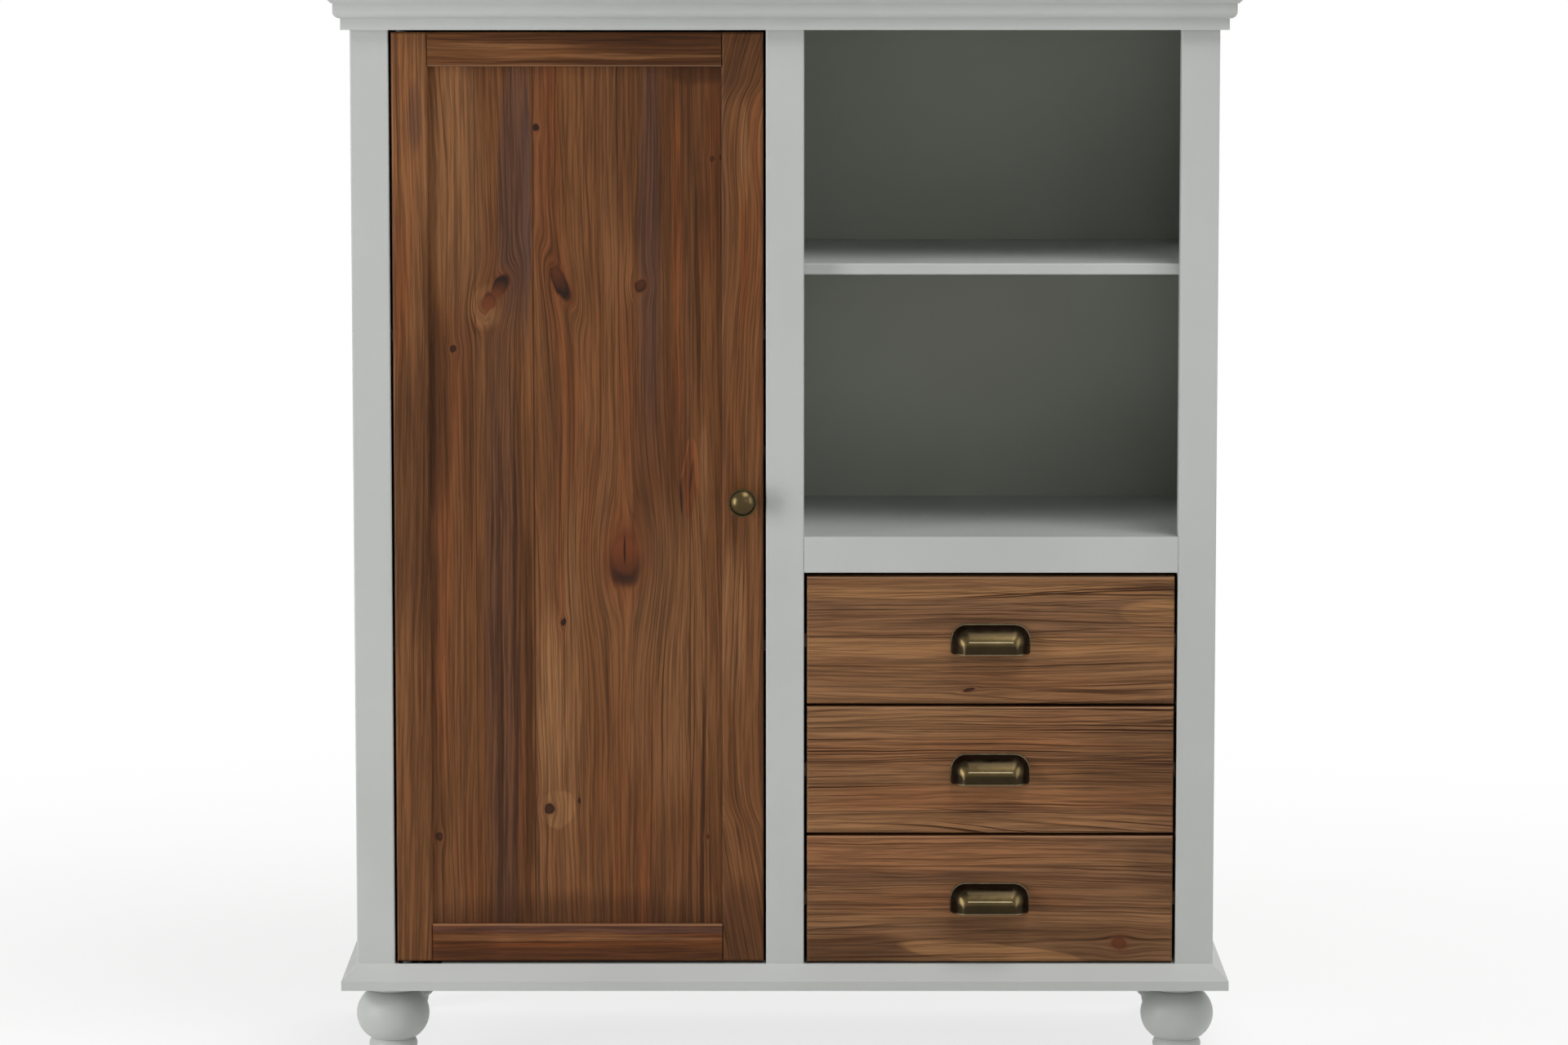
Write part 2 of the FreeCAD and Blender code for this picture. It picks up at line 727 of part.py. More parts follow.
door_knob_stile = board(
    "door_knob_stile",
    (PANEL_RIGHT, LEAF_FRONT, DOOR_LOW),
    (DOOR_RIGHT, DOOR_BACK, DOOR_HIGH),
)
dress(door_knob_stile, "Fillet", "Radius", "dims.door_easing", on_front)
trench(
    door_knob_stile,
    "panel_groove",
    (PANEL_RIGHT, GROOVE_FRONT, DOOR_LOW),
    (f"({PANEL_RIGHT} + dims.groove_depth)", GROOVE_BACK, DOOR_HIGH),
)


def level_on_front(edge, limits):
    return on_front(edge, limits) and edge.BoundBox.XLength > TOUCH


def door_rail(label, low, high, groove_low, groove_high):
    """A rail between the stiles, with a tenon at each end and a groove for the panel."""
    body = board(label, (PANEL_LEFT, LEAF_FRONT, low), (PANEL_RIGHT, DOOR_BACK, high))
    dress(body, "Fillet", "Radius", "dims.door_easing", level_on_front)
    block(
        body,
        "Additive",
        "tenons",
        (f"({PANEL_LEFT} - dims.groove_depth)", GROOVE_FRONT, low),
        (f"({PANEL_RIGHT} + dims.groove_depth)", GROOVE_BACK, high),
    )
    trench(
        body,
        "panel_groove",
        (f"({PANEL_LEFT} - dims.groove_depth)", GROOVE_FRONT, groove_low),
        (f"({PANEL_RIGHT} + dims.groove_depth)", GROOVE_BACK, groove_high),
    )


door_rail("door_rail_top", PANEL_HIGH, DOOR_HIGH, PANEL_HIGH, f"({PANEL_HIGH} + dims.groove_depth)")
door_rail("door_rail_bottom", DOOR_LOW, PANEL_LOW, f"({PANEL_LOW} - dims.groove_depth)", PANEL_LOW)

PANEL_EDGE = "(dims.groove_depth - dims.panel_play)"
board(
    "door_panel",
    (f"({PANEL_LEFT} - {PANEL_EDGE})", GROOVE_FRONT, f"({PANEL_LOW} - {PANEL_EDGE})"),
    (f"({PANEL_RIGHT} + {PANEL_EDGE})", GROOVE_BACK, f"({PANEL_HIGH} + {PANEL_EDGE})"),
)

# The door's pivots: a pin on a plate let into the base board, the same under the top
# rail, and a bush for each in the ends of the hinge stile

HINGE_X = f"({DOOR_LEFT} + dims.pivot_inset)"
PIN_LENGTH = "(dims.door_gap + dims.bush_length)"
COLLAR_HEIGHT = "(dims.door_gap - dims.pivot_play)"
PLATE_NEAR = f"({HINGE_Y} - dims.plate_width / 2)"
PLATE_FAR = f"({HINGE_Y} + dims.plate_width / 2)"


def pivot(aim, level, plate_low, plate_high, seat):
    """A plate with a collar and a pin. It sits flush in its seat and points the way of aim."""
    body = doc.addObject("PartDesign::Body", "pivot_plate")
    low = (f"({HINGE_X} - dims.plate_heel)", PLATE_NEAR, plate_low)
    high = (f"({HINGE_X} + dims.plate_reach)", PLATE_FAR, plate_high)
    block(body, "Additive", "plate", low, high)
    trench(seat, "plate_recess", low, high)
    foot = (HINGE_X, HINGE_Y, level)
    cylinder(body, "Additive", "collar", aim, foot, "dims.collar_diameter", COLLAR_HEIGHT)
    cylinder(body, "Additive", "pin", aim, foot, "dims.pivot_pin_diameter", PIN_LENGTH)
    into = "-z" if aim == "+z" else "+z"
    for spot in ("dims.plate_screw_first", "dims.plate_screw_second"):
        wood_screw(into, (f"({HINGE_X} + {spot})", HINGE_Y, level), body, seat)
    return body


lower_pivot = pivot("+z", FLOOR, f"({FLOOR} - dims.plate_thickness)", FLOOR, base_board)
upper_pivot = pivot("-z", HEAD, HEAD, f"({HEAD} + dims.plate_thickness)", top_rail)
group("pivot_plates", [lower_pivot, upper_pivot])

bushes = []
for aim, level in (("+z", DOOR_LOW), ("-z", DOOR_HIGH)):
    spot = (HINGE_X, HINGE_Y, level)
    bush = doc.addObject("PartDesign::Body", "pivot_bush")
    cylinder(bush, "Additive", "sleeve", aim, spot, "dims.bush_diameter", "dims.bush_length")
    hole = "(dims.pivot_pin_diameter + 2 * dims.pivot_clearance)"
    bore(bush, aim, spot, hole, "dims.bush_length")
    bore(door_hinge_stile, aim, spot, "dims.bush_diameter", "dims.bush_length")
    bushes.append(bush)
group("pivot_bushes", bushes)

# The knob: a flange, a neck, a flared back, and a face with a bead round a dome

KNOB_X = f"({DOOR_RIGHT} - dims.knob_stile_width / 2)"
KNOB_FLARE = "(dims.knob_neck_height + dims.knob_flare_height)"
KNOB_BEAD = f"({KNOB_FLARE} + dims.knob_bead_height)"
KNOB_GROOVE = f"({KNOB_BEAD} - dims.knob_groove_depth)"
DOME_SPAN = "(dims.knob_radius - dims.knob_bead_width)"
DOME_RISE = f"(dims.knob_reach - {KNOB_GROOVE})"
DOME_RADIUS = f"(({DOME_SPAN} * {DOME_SPAN} + {DOME_RISE} * {DOME_RISE}) / (2 * {DOME_RISE}))"
door_knob = bare_body("door_knob")
lathe(door_knob, [
    ("dims.knob_flange_radius", "0"),
    ("dims.knob_flange_radius", "dims.knob_flange_height"),
    ("dims.knob_neck_radius", "dims.knob_flange_height"),
    ("dims.knob_neck_radius", "dims.knob_neck_height"),
    ("dims.knob_radius", KNOB_FLARE, "dims.knob_flare_rounding", -1),
    ("dims.knob_radius", KNOB_BEAD),
    (DOME_SPAN, KNOB_BEAD),
    (DOME_SPAN, KNOB_GROOVE),
    ("0", "dims.knob_reach", DOME_RADIUS, 1),
    ("0", "0"),
])
bore(door_knob, "+z", ("0", "0", "0"), "dims.bolt_shank_diameter", "dims.knob_bite")
place(door_knob, (KNOB_X, LEAF_FRONT, DOOR_MIDDLE), AIM["-y"])
knob_seat = (KNOB_X, DOOR_BACK, DOOR_MIDDLE)
keep(machine_screw(knob_seat, door_knob_stile, "dims.door_thickness", "dims.knob_bite"), "knob_screw")

# The catch: a magnet block on the partition and a strike plate on the back of the door

CATCH_LEVEL = f"({DOOR_MIDDLE} + dims.catch_rise)"
CATCH_LOW = f"({CATCH_LEVEL} - dims.catch_height / 2)"
CATCH_HIGH = f"({CATCH_LEVEL} + dims.catch_height / 2)"
STRIKE_RIGHT = f"({DOOR_RIGHT} - dims.strike_inset)"
STRIKE_LEFT = f"({STRIKE_RIGHT} - dims.strike_width)"
STRIKE_BACK = f"({DOOR_BACK} + dims.strike_thickness)"
CATCH_FRONT = f"(max({STILE_BACK}; {STRIKE_BACK} + dims.catch_gap))"
CATCH_BACK = f"({CATCH_FRONT} + dims.catch_depth)"
FLANGE_BACK = f"({CATCH_BACK} + dims.catch_flange_depth)"
FLANGE_FACE = f"({minus(PARTITION_FACE)} - dims.catch_flange)"

door_catch = board(
    "door_catch",
    (STRIKE_LEFT, CATCH_FRONT, CATCH_LOW),
    (minus(PARTITION_FACE), CATCH_BACK, CATCH_HIGH),
)
block(
    door_catch,
    "Additive",
    "flange",
    (FLANGE_FACE, CATCH_FRONT, CATCH_LOW),
    (minus(PARTITION_FACE), FLANGE_BACK, CATCH_HIGH),
)
for side in ("-", "+"):
    spot = f"(({CATCH_BACK} + {FLANGE_BACK}) / 2 {side} dims.catch_screw_spacing / 2)"
    wood_screw("+x", (FLANGE_FACE, spot, CATCH_LEVEL), door_catch, partition)

catch_plate = board(
    "catch_plate",
    (STRIKE_LEFT, DOOR_BACK, f"({CATCH_LEVEL} - dims.strike_height / 2)"),
    (STRIKE_RIGHT, STRIKE_BACK, f"({CATCH_LEVEL} + dims.strike_height / 2)"),
)
spike_root = (f"(({STRIKE_LEFT} + {STRIKE_RIGHT}) / 2)", DOOR_BACK, CATCH_LEVEL)
cylinder(catch_plate, "Additive", "spike", "-y", spike_root, "dims.spike_diameter", "dims.spike_length")
bore(door_knob_stile, "-y", spike_root, "dims.spike_diameter", "dims.spike_length")

# The drawers: a front, two grooved sides housed in it, a back and a bottom

ALL_GAPS = "(dims.drawer_head_gap + dims.drawer_foot_gap + 2 * dims.drawer_gap)"
DRAWER_HEIGHT = f"((dims.drawer_bay_height - {ALL_GAPS}) / 3)"
DRAWER_LEFT = f"({MIDDLE_EDGE} + dims.drawer_gap)"
DRAWER_RIGHT = f"({OPENING_EDGE} - dims.drawer_gap)"
DRAWER_CENTRE = f"(({DRAWER_LEFT} + {DRAWER_RIGHT}) / 2)"
HOUSING_FRONT = f"({DRAWER_BACK} - dims.housing_depth)"
BOX_LEFT = f"({MIDDLE_EDGE} + dims.box_clearance)"
BOX_RIGHT = f"({OPENING_EDGE} - dims.box_clearance)"
BOX_BACK = f"({BACK_FACE} - dims.box_back_clearance)"
INSIDE_LEFT = f"({BOX_LEFT} + dims.box_side_thickness)"
INSIDE_RIGHT = f"({BOX_RIGHT} - dims.box_side_thickness)"
PANEL_BACK = f"({BOX_BACK} - dims.box_back_inset)"
PANEL_FRONT = f"({PANEL_BACK} - dims.box_back_thickness)"
RUNNER_FRONT = f"(max({STILE_BACK}; {DRAWER_BACK}) + dims.runner_setback)"
RUNNER_LEFT_FACE = f"({BOX_LEFT} + dims.runner_groove_depth - dims.runner_play)"
RUNNER_RIGHT_FACE = f"({BOX_RIGHT} - dims.runner_groove_depth + dims.runner_play)"


def pull_corner_edges(edge, limits):
    return edge.BoundBox.ZMin > limits.ZMax - TOUCH and edge.BoundBox.YLength > TOUCH


def pull_front_edges(edge, limits):
    return on_front(edge, limits) and edge.BoundBox.ZMax > limits.ZMin + TOUCH


def hollow(body, wall):
    """Leave a shell, open at the back and at the bottom."""
    doc.recompute()
    base = body.Tip
    limits = base.Shape.BoundBox
    faces = []
    for index, face in enumerate(base.Shape.Faces, start=1):
        at_back = face.BoundBox.YMin > limits.YMax - TOUCH
        at_bottom = face.BoundBox.ZMax < limits.ZMin + TOUCH
        if at_back or at_bottom:
            faces.append(f"Face{index}")
    shell = body.newObject("PartDesign::Thickness", "shell")
    shell.Base = (base, faces)
    shell.Reversed = True
    shell.setExpression("Value", wall)


def cup_pull(label, corner):
    """A hollow hood with a flat rim round its back, and a boss for each screw."""
    body = bare_body(label)
    hood_low = ("dims.pull_rim", "(0 - dims.pull_depth)", "0")
    hood_high = ("(dims.pull_width - dims.pull_rim)", "0", "(dims.pull_height - dims.pull_rim)")
    block(body, "Additive", "hood", hood_low, hood_high)
    dress(body, "Fillet", "Radius", "(dims.pull_corner - dims.pull_rim)", pull_corner_edges)
    dress(body, "Fillet", "Radius", "dims.pull_rounding", pull_front_edges)
    hollow(body, "dims.pull_wall")
    width = "dims.pull_width"
    height = "dims.pull_height"
    corner_radius = "dims.pull_corner"
    band = "(dims.pull_rim + dims.pull_wall / 2)"
    inner_radius = f"({corner_radius} - {band})"
    shoulder = f"({height} - {corner_radius})"
    rim = outline(body, [
        ("0", shoulder),
        (corner_radius, height, corner_radius, -1),
        (f"({width} - {corner_radius})", height),
        (width, shoulder, corner_radius, -1),
        (width, "0"),
        (f"({width} - {band})", "0"),
        (f"({width} - {band})", shoulder),
        (f"({width} - {corner_radius})", f"({height} - {band})", inner_radius, 1),
        (corner_radius, f"({height} - {band})"),
        (band, shoulder, inner_radius, 1),
        (band, "0"),
        ("0", "0"),
    ])
    extrude(body, rim, "dims.pull_rim_thickness", backwards=False)
    boss = f"({width} - dims.pull_screw_spacing - 2 * {band})"
    for side in ("-", "+"):
        spot = (f"({width} / 2 {side} dims.pull_screw_spacing / 2)", "0", "dims.pull_boss_level")
        cylinder(body, "Additive", "boss", "-y", spot, boss, "dims.pull_boss_length")
        bore(body, "-y", spot, "dims.bolt_shank_diameter", "dims.pull_bite")
    place(body, corner)


def box_side(label, left, right, groove, inner, low, high, run_low, run_high, bottom_low, bottom_high):
    """A drawer side. Groove and inner give the edges of its cuts across the thickness:
    outside for the runner, inside for the bottom and for the back."""
    body = board(label, (left, HOUSING_FRONT, low), (right, BOX_BACK, high))
    trench(
        body,
        "runner_groove",
        (groove[0], DRAWER_BACK, f"({run_low} - dims.runner_play)"),
        (groove[1], BOX_BACK, f"({run_high} + dims.runner_lift_play)"),
    )
    bottom_cut, back_cut = inner
    trench(
        body,
        "bottom_groove",
        (bottom_cut[0], HOUSING_FRONT, bottom_low),
        (bottom_cut[1], BOX_BACK, bottom_high),
    )
    trench(
        body,
        "back_housing",
        (back_cut[0], PANEL_FRONT, bottom_high),
        (back_cut[1], PANEL_BACK, high),
    )


def runner(aim, wall, left, right, run_low, run_high):
    """A hardwood strip on a wall of the bay, with two sunk screws that point at the wall."""
    body = doc.addObject("PartDesign::Body", "runner")
    block(body, "Additive", "strip", (left, RUNNER_FRONT, run_low), (right, BACK_FACE, run_high))
    level = f"(({run_low} + {run_high}) / 2)"
    for depth in (
        f"({RUNNER_FRONT} + dims.runner_screw_inset)",
        f"({BACK_FACE} - dims.runner_screw_inset)",
    ):
        sunk = f"({right} - {left} - dims.runner_screw_seat)"
        if aim == "-x":
            seat = f"({left} + dims.runner_screw_seat)"
            bore(body, "+x", (seat, depth, level), "dims.counterbore", sunk)
        else:
            seat = f"({right} - dims.runner_screw_seat)"
            bore(body, "-x", (seat, depth, level), "dims.counterbore", sunk)
        wood_screw(aim, (seat, depth, level), body, wall)
    return body


def drawer(name, order):
    """One drawer with its pull, and the pair of runners that carry it."""
    low = f"({FLOOR} + dims.drawer_foot_gap + {order} * ({DRAWER_HEIGHT} + dims.drawer_gap))"
    high = f"({low} + {DRAWER_HEIGHT})"
    side_low = f"({low} + dims.box_lift)"
    side_high = f"({high} - dims.box_drop)"
    bottom_low = f"({side_low} + dims.bottom_lift)"
    bottom_high = f"({bottom_low} + dims.bottom_thickness)"
    run_low = f"(({side_low} + {side_high} - dims.runner_height) / 2)"
    run_high = f"({run_low} + dims.runner_height)"

    front = board(
        f"drawer_{name}_front",
        (DRAWER_LEFT, LEAF_FRONT, low),
        (DRAWER_RIGHT, DRAWER_BACK, high),
    )
    dress(front, "Fillet", "Radius", "dims.drawer_easing", on_front)
    bottom_left = f"({INSIDE_LEFT} - dims.bottom_housing)"
    bottom_right = f"({INSIDE_RIGHT} + dims.bottom_housing)"
    for left, right in ((BOX_LEFT, INSIDE_LEFT), (INSIDE_RIGHT, BOX_RIGHT)):
        trench(front, "side_housing", (left, HOUSING_FRONT, side_low), (right, DRAWER_BACK, side_high))
    trench(
        front,
        "bottom_groove",
        (bottom_left, HOUSING_FRONT, bottom_low),
        (bottom_right, DRAWER_BACK, bottom_high),
    )
    levels = (side_low, side_high, run_low, run_high, bottom_low, bottom_high)
    back_left = f"({INSIDE_LEFT} - dims.box_back_housing)"
    back_right = f"({INSIDE_RIGHT} + dims.box_back_housing)"
    box_side(
        f"drawer_{name}_side_left",
        BOX_LEFT,
        INSIDE_LEFT,
        (BOX_LEFT, f"({BOX_LEFT} + dims.runner_groove_depth)"),
        ((bottom_left, INSIDE_LEFT), (back_left, INSIDE_LEFT)),
        *levels,
    )
    box_side(
        f"drawer_{name}_side_right",
        INSIDE_RIGHT,
        BOX_RIGHT,
        (f"({BOX_RIGHT} - dims.runner_groove_depth)", BOX_RIGHT),
        ((INSIDE_RIGHT, bottom_right), (INSIDE_RIGHT, back_right)),
        *levels,
    )
    board(
        f"drawer_{name}_back",
        (back_left, PANEL_FRONT, bottom_high),
        (back_right, PANEL_BACK, side_high),
    )
    board(
        f"drawer_{name}_bottom",
        (bottom_left, HOUSING_FRONT, bottom_low),
        (bottom_right, BOX_BACK, bottom_high),
    )

    pull_low = f"(({low} + {high} - dims.pull_height) / 2 + dims.pull_rise)"
    pull_left = f"({DRAWER_CENTRE} - dims.pull_width / 2)"
    cup_pull(f"drawer_{name}_pull", (pull_left, LEAF_FRONT, pull_low))
    pull_screws = []
    for side in ("-", "+"):
        spot = f"({DRAWER_CENTRE} {side} dims.pull_screw_spacing / 2)"
        seat = (spot, DRAWER_BACK, f"({pull_low} + dims.pull_boss_level)")
        pull_screws.append(machine_screw(seat, front, "dims.drawer_front_thickness", "dims.pull_bite"))
    group(f"drawer_{name}_pull_screws", pull_screws)

    return [
        runner("-x", partition, PARTITION_FACE, RUNNER_LEFT_FACE, run_low, run_high),
        runner("+x", side_panel_right, RUNNER_RIGHT_FACE, SIDE_FACE, run_low, run_high),
    ]


runners = []
for order, name in enumerate(DRAWERS):
    runners += drawer(name, order)
group("drawer_runners", runners)
group("carcass_dowels", dowels)
group("carcass_screws", screws)

# Test every object, then write each sub-part to its own file

doc.recompute()
for item in doc.Objects:
    if "Invalid" in item.State or "Error" in item.State:
        raise RuntimeError(f"{item.Label} failed: {item.State}")
for piece in subparts:
    if piece.Shape.isNull() or not piece.Shape.isValid():
        raise RuntimeError(f"{piece.Label} has no valid shape")

os.makedirs("parts", exist_ok=True)
for piece in subparts:
    piece.Shape.exportStep(os.path.join("parts", f"{piece.Label}.step"))
    print(f"{piece.Label}: {len(piece.Shape.Solids)} solid(s), {piece.Shape.Volume:.0f} cubic mm")
print(f"{len(subparts)} sub-parts")
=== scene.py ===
# %% [markdown]
# # A painted highboard with a stained pine door and drawers
# The real cupboard is a grey painted case on turned feet, with a framed door of knotty pine on the
# left, and an open niche over three drawers on the right. Its construction comes in as a fixed frame:
# every board, screw and runner is already there at its real size. This lesson gives each surface its
# finish, models the cast cup pulls again with softer edges, and sets up the light and the camera.

# %% Load the frame
import math

import bpy
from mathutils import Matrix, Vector


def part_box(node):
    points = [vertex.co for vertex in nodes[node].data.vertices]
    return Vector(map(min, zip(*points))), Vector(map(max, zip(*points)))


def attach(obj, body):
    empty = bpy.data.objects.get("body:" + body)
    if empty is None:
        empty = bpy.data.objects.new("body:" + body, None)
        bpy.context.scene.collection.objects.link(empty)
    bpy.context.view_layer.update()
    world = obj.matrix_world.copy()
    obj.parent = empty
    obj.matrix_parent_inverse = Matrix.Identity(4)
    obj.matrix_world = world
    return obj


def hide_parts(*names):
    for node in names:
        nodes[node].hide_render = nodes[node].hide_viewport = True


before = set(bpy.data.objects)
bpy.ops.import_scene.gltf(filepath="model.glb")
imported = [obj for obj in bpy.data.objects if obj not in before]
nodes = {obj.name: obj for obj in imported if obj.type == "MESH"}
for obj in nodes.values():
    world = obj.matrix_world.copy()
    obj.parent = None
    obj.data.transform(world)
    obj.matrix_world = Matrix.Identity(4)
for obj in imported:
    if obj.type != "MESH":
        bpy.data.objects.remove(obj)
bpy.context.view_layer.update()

# %% [markdown]
# ## Small tools for shader nodes
# A material in Blender is a graph of nodes, which are added from a menu and wired with the mouse. In a
# script it is easier to have one helper that adds a node, sets its options and feeds its inputs, with
# plain values or with the outputs of nodes that are already there.

# %% Node helpers
MM = 0.001
# A Mix node's colour sockets, by number because their names aren't unique.
COLOUR_FIRST, COLOUR_SECOND, COLOUR_RESULT = 6, 7, 2


def colour(red, green, blue):
    """A colour written as screen values from 0 to 255, turned into linear light."""
    shares = (red / 255, green / 255, blue / 255)
    return (*(((share + 0.055) / 1.055) ** 2.4 for share in shares), 1.0)


def put(tree, kind, feeds=None, **options):
    """Add a shader node. Its feeds are values or other nodes' outputs, by input name or number."""
    made = tree.nodes.new("ShaderNode" + kind)
    for option, value in options.items():
        setattr(made, option, value)
    for name, value in (feeds or {}).items():
        if isinstance(value, bpy.types.NodeSocket):
            tree.links.new(value, made.inputs[name])
        else:
            made.inputs[name].default_value = value
    return made


def calc(tree, operation, *values, clamp=False):
    """A Math node."""
    made = put(tree, "Math", dict(enumerate(values)), operation=operation, use_clamp=clamp)
    return made.outputs[0]


def calc_vector(tree, operation, first, second):
    """A Vector Math node. Its second value is a number for SCALE, and else a vector."""
    place = "Scale" if operation == "SCALE" else 1
    return put(tree, "VectorMath", {0: first, place: second}, operation=operation).outputs[0]


def mix(tree, share, first, second):
    """A Mix node for colours."""
    feeds = {0: share, COLOUR_FIRST: first, COLOUR_SECOND: second}
    return put(tree, "Mix", feeds, data_type="RGBA").outputs[COLOUR_RESULT]


def step(tree, value, start, end, low=0.0, high=1.0):
    """A soft step from low to high while the value goes from start to end."""
    feeds = {"Value": value, "From Min": start, "From Max": end, "To Min": low, "To Max": high}
    return put(tree, "MapRange", feeds, interpolation_type="SMOOTHSTEP").outputs[0]


print("node helpers ready")

# %% Noise, groups and materials
SOCKET_KINDS = {3: "Vector", 4: "Color"}


def stretched_noise(tree, vector, per_metre, detail=2.0, roughness=0.5, output="Fac"):
    """Noise with its own number of waves per metre along each axis."""
    stretched = calc_vector(tree, "MULTIPLY", vector, per_metre)
    feeds = {"Vector": stretched, "Scale": 1.0, "Detail": detail, "Roughness": roughness}
    return put(tree, "TexNoise", feeds).outputs[output]


def sharpened(tree, vector, look, detail=2.0, roughness=0.5):
    """Noise of a look: its waves per metre along each axis, and the soft step that sharpens it."""
    per_metre, edges = look
    return step(tree, stretched_noise(tree, vector, per_metre, detail, roughness), *edges)


def new_group(name, inputs, build):
    """A shader node group, from the defaults of its inputs and a function that returns its outputs."""
    group = bpy.data.node_groups.new(name, "ShaderNodeTree")
    for label, default in inputs.items():
        kind = "Float" if isinstance(default, float) else SOCKET_KINDS[len(default)]
        socket = group.interface.new_socket(name=label, in_out="INPUT", socket_type=f"NodeSocket{kind}")
        socket.default_value = default
    made = build(group, group.nodes.new("NodeGroupInput").outputs)
    for label, output in made.items():
        group.interface.new_socket(name=label, in_out="OUTPUT", socket_type=output.bl_idname)
    leave = group.nodes.new("NodeGroupOutput").inputs
    for label, output in made.items():
        group.links.new(output, leave[label])
    print(name, "group:", len(group.nodes), "nodes")
    return group


def use_group(tree, group, feeds):
    """Place a node group in a material and return its outputs by name."""
    return dict(put(tree, "Group", feeds, node_tree=group).outputs.items())


def new_material(name):
    """An empty material: its tree, its Principled shader's inputs and its Object coordinates."""
    material = bpy.data.materials.new(name)
    material.use_nodes = True
    tree = material.node_tree
    shader = tree.nodes["Principled BSDF"].inputs
    place = put(tree, "TexCoord").outputs["Object"]
    return material, tree, shader, place


def coordinate(tree, place, axis):
    """One of the coordinates of a point."""
    return put(tree, "SeparateXYZ", {0: place}).outputs[axis]


def dress(tree, shader, finish, sheen=0.5):
    """Take a shader's colour and roughness from a group, and set how strongly it mirrors."""
    tree.links.new(finish["Color"], shader["Base Color"])
    tree.links.new(finish["Roughness"], shader["Roughness"])
    shader["Specular IOR Level"].default_value = sheen


def bump(tree, shader, height, strength, depth):
    """Let a height dent the surface of a shader."""
    made = put(tree, "Bump", {"Strength": strength, "Distance": depth, "Height": height})
    tree.links.new(made.outputs[0], shader["Normal"])


def wear(material, *names):
    """Give a finish to CAD nodes."""
    for name in names:
        mesh = nodes[name].data
        mesh.materials.clear()
        mesh.materials.append(material)


print("noise, groups and materials ready")

# %% [markdown]
# ## The figure of pine
# Pine shows the growth rings of its tree. A board is a slice of that tree, so the rings are circles
# round a pith that lies somewhere behind the face, and the face cuts them into lines. Working out the
# distance to that pith gives straight lines far from it and arches where the pith runs at a slant.
# Noise that is stretched along the grain adds the wander of the rings, fine fibres, grey and warm bands
# and paler patches. It is one node group, which stained, plain and hard wood all use.

# %% Pine figure group
# How far a board's seed moves it through the noise, and how many rings its numbers move on.
SEED_SHIFT = (1.7, 0.37, 0.91)
SEED_RINGS = 31
# Waves per metre along the grain, across it and into the board, and how far they shift a value.
BENDS = ((1.3, 6, 6), 0.035)
RIPPLES = ((7, 40, 40), 0.006)
PITH_WANDER = ((2.2, 2, 2), 0.05)
PALE_PATCHES = ((2.6, 13, 5), 1.0)
STREAKS = ((1.2, 75, 25), 0.75)
# The same waves, and a soft step: where it starts and ends, and its value before and after.
BREAKS = ((3.2, 110, 40), (0.34, 0.64, 0.2, 1.0))
ZONES = ((1.1, 24, 9), (0.38, 0.6, 0.25, 1.2))
DASHES = ((1.5, 400, 150), (0.56, 0.66, 0.0, 0.8))
FADING = ((3.5, 60, 30), (0.35, 0.6, 0.35, 1.0))
FIBRES = ((9, 400, 150), (0.35, 0.65))
WARM_BANDS = ((1.8, 19, 7), (0.48, 0.72, 0.0, 0.55))
GREY_BANDS = ((0.9, 31, 9), (0.5, 0.72, 0.0, 0.45))
# Rings drift in width: waves per ring, and the drift in rings.
RING_WAVES = 0.45
RING_DRIFT = 3.0
# Late wood darkens slowly and ends at once, in shares of a ring, and some rings stay faint.
LATE_RISE = (0.64, 0.93)
LATE_FALL = (0.95, 1.0, 1.0, 0.0)
RING_STRENGTH = (0.1, 1.0, 0.15, 1.0)


def wander(tree, vector, per_metre, reach, detail=1.0):
    """Noise turned into a shift of up to about half the reach either way."""
    centred = calc(tree, "SUBTRACT", stretched_noise(tree, vector, per_metre, detail), 0.5)
    return calc(tree, "MULTIPLY", centred, reach)


def build_pine_flow(tree, entry, spot):
    """Coordinates in which the grain runs straight, though it bends round the knots on the board."""
    along, across, into = put(tree, "SeparateXYZ", {0: spot}).outputs
    for part in (entry["Push"], wander(tree, spot, *BENDS), wander(tree, spot, *RIPPLES, 2)):
        across = calc(tree, "ADD", across, part)
    return put(tree, "CombineXYZ", {0: along, 1: across, 2: into}).outputs[0], across


def build_pine_rings(tree, entry, spot, shift):
    """The dark late wood of each ring, from 0 to 1."""
    along = coordinate(tree, entry["Vector"], "X")
    slant = calc(tree, "MULTIPLY_ADD", along, entry["Lean"], entry["Pith Depth"])
    depth = calc(tree, "ADD", slant, wander(tree, spot, *PITH_WANDER))
    squares = calc(tree, "MULTIPLY_ADD", shift, shift, calc(tree, "MULTIPLY", depth, depth))
    rings = calc(tree, "DIVIDE", calc(tree, "SQRT", squares), entry["Ring Width"])
    feeds = {"W": rings, "Scale": RING_WAVES, "Detail": 1.0}
    uneven = put(tree, "TexNoise", feeds, noise_dimensions="1D").outputs["Fac"]
    rings = calc(tree, "MULTIPLY_ADD", uneven, RING_DRIFT, rings)
    share = calc(tree, "FRACT", rings)
    own = calc(tree, "MULTIPLY", entry["Seed"], SEED_RINGS)
    number = calc(tree, "ADD", calc(tree, "FLOOR", rings), own)
    strength = put(tree, "TexWhiteNoise", {"W": number}, noise_dimensions="1D").outputs["Value"]
    late = calc(tree, "MULTIPLY", step(tree, share, *LATE_RISE), step(tree, share, *LATE_FALL))
    return calc(tree, "MULTIPLY", late, step(tree, strength, *RING_STRENGTH))


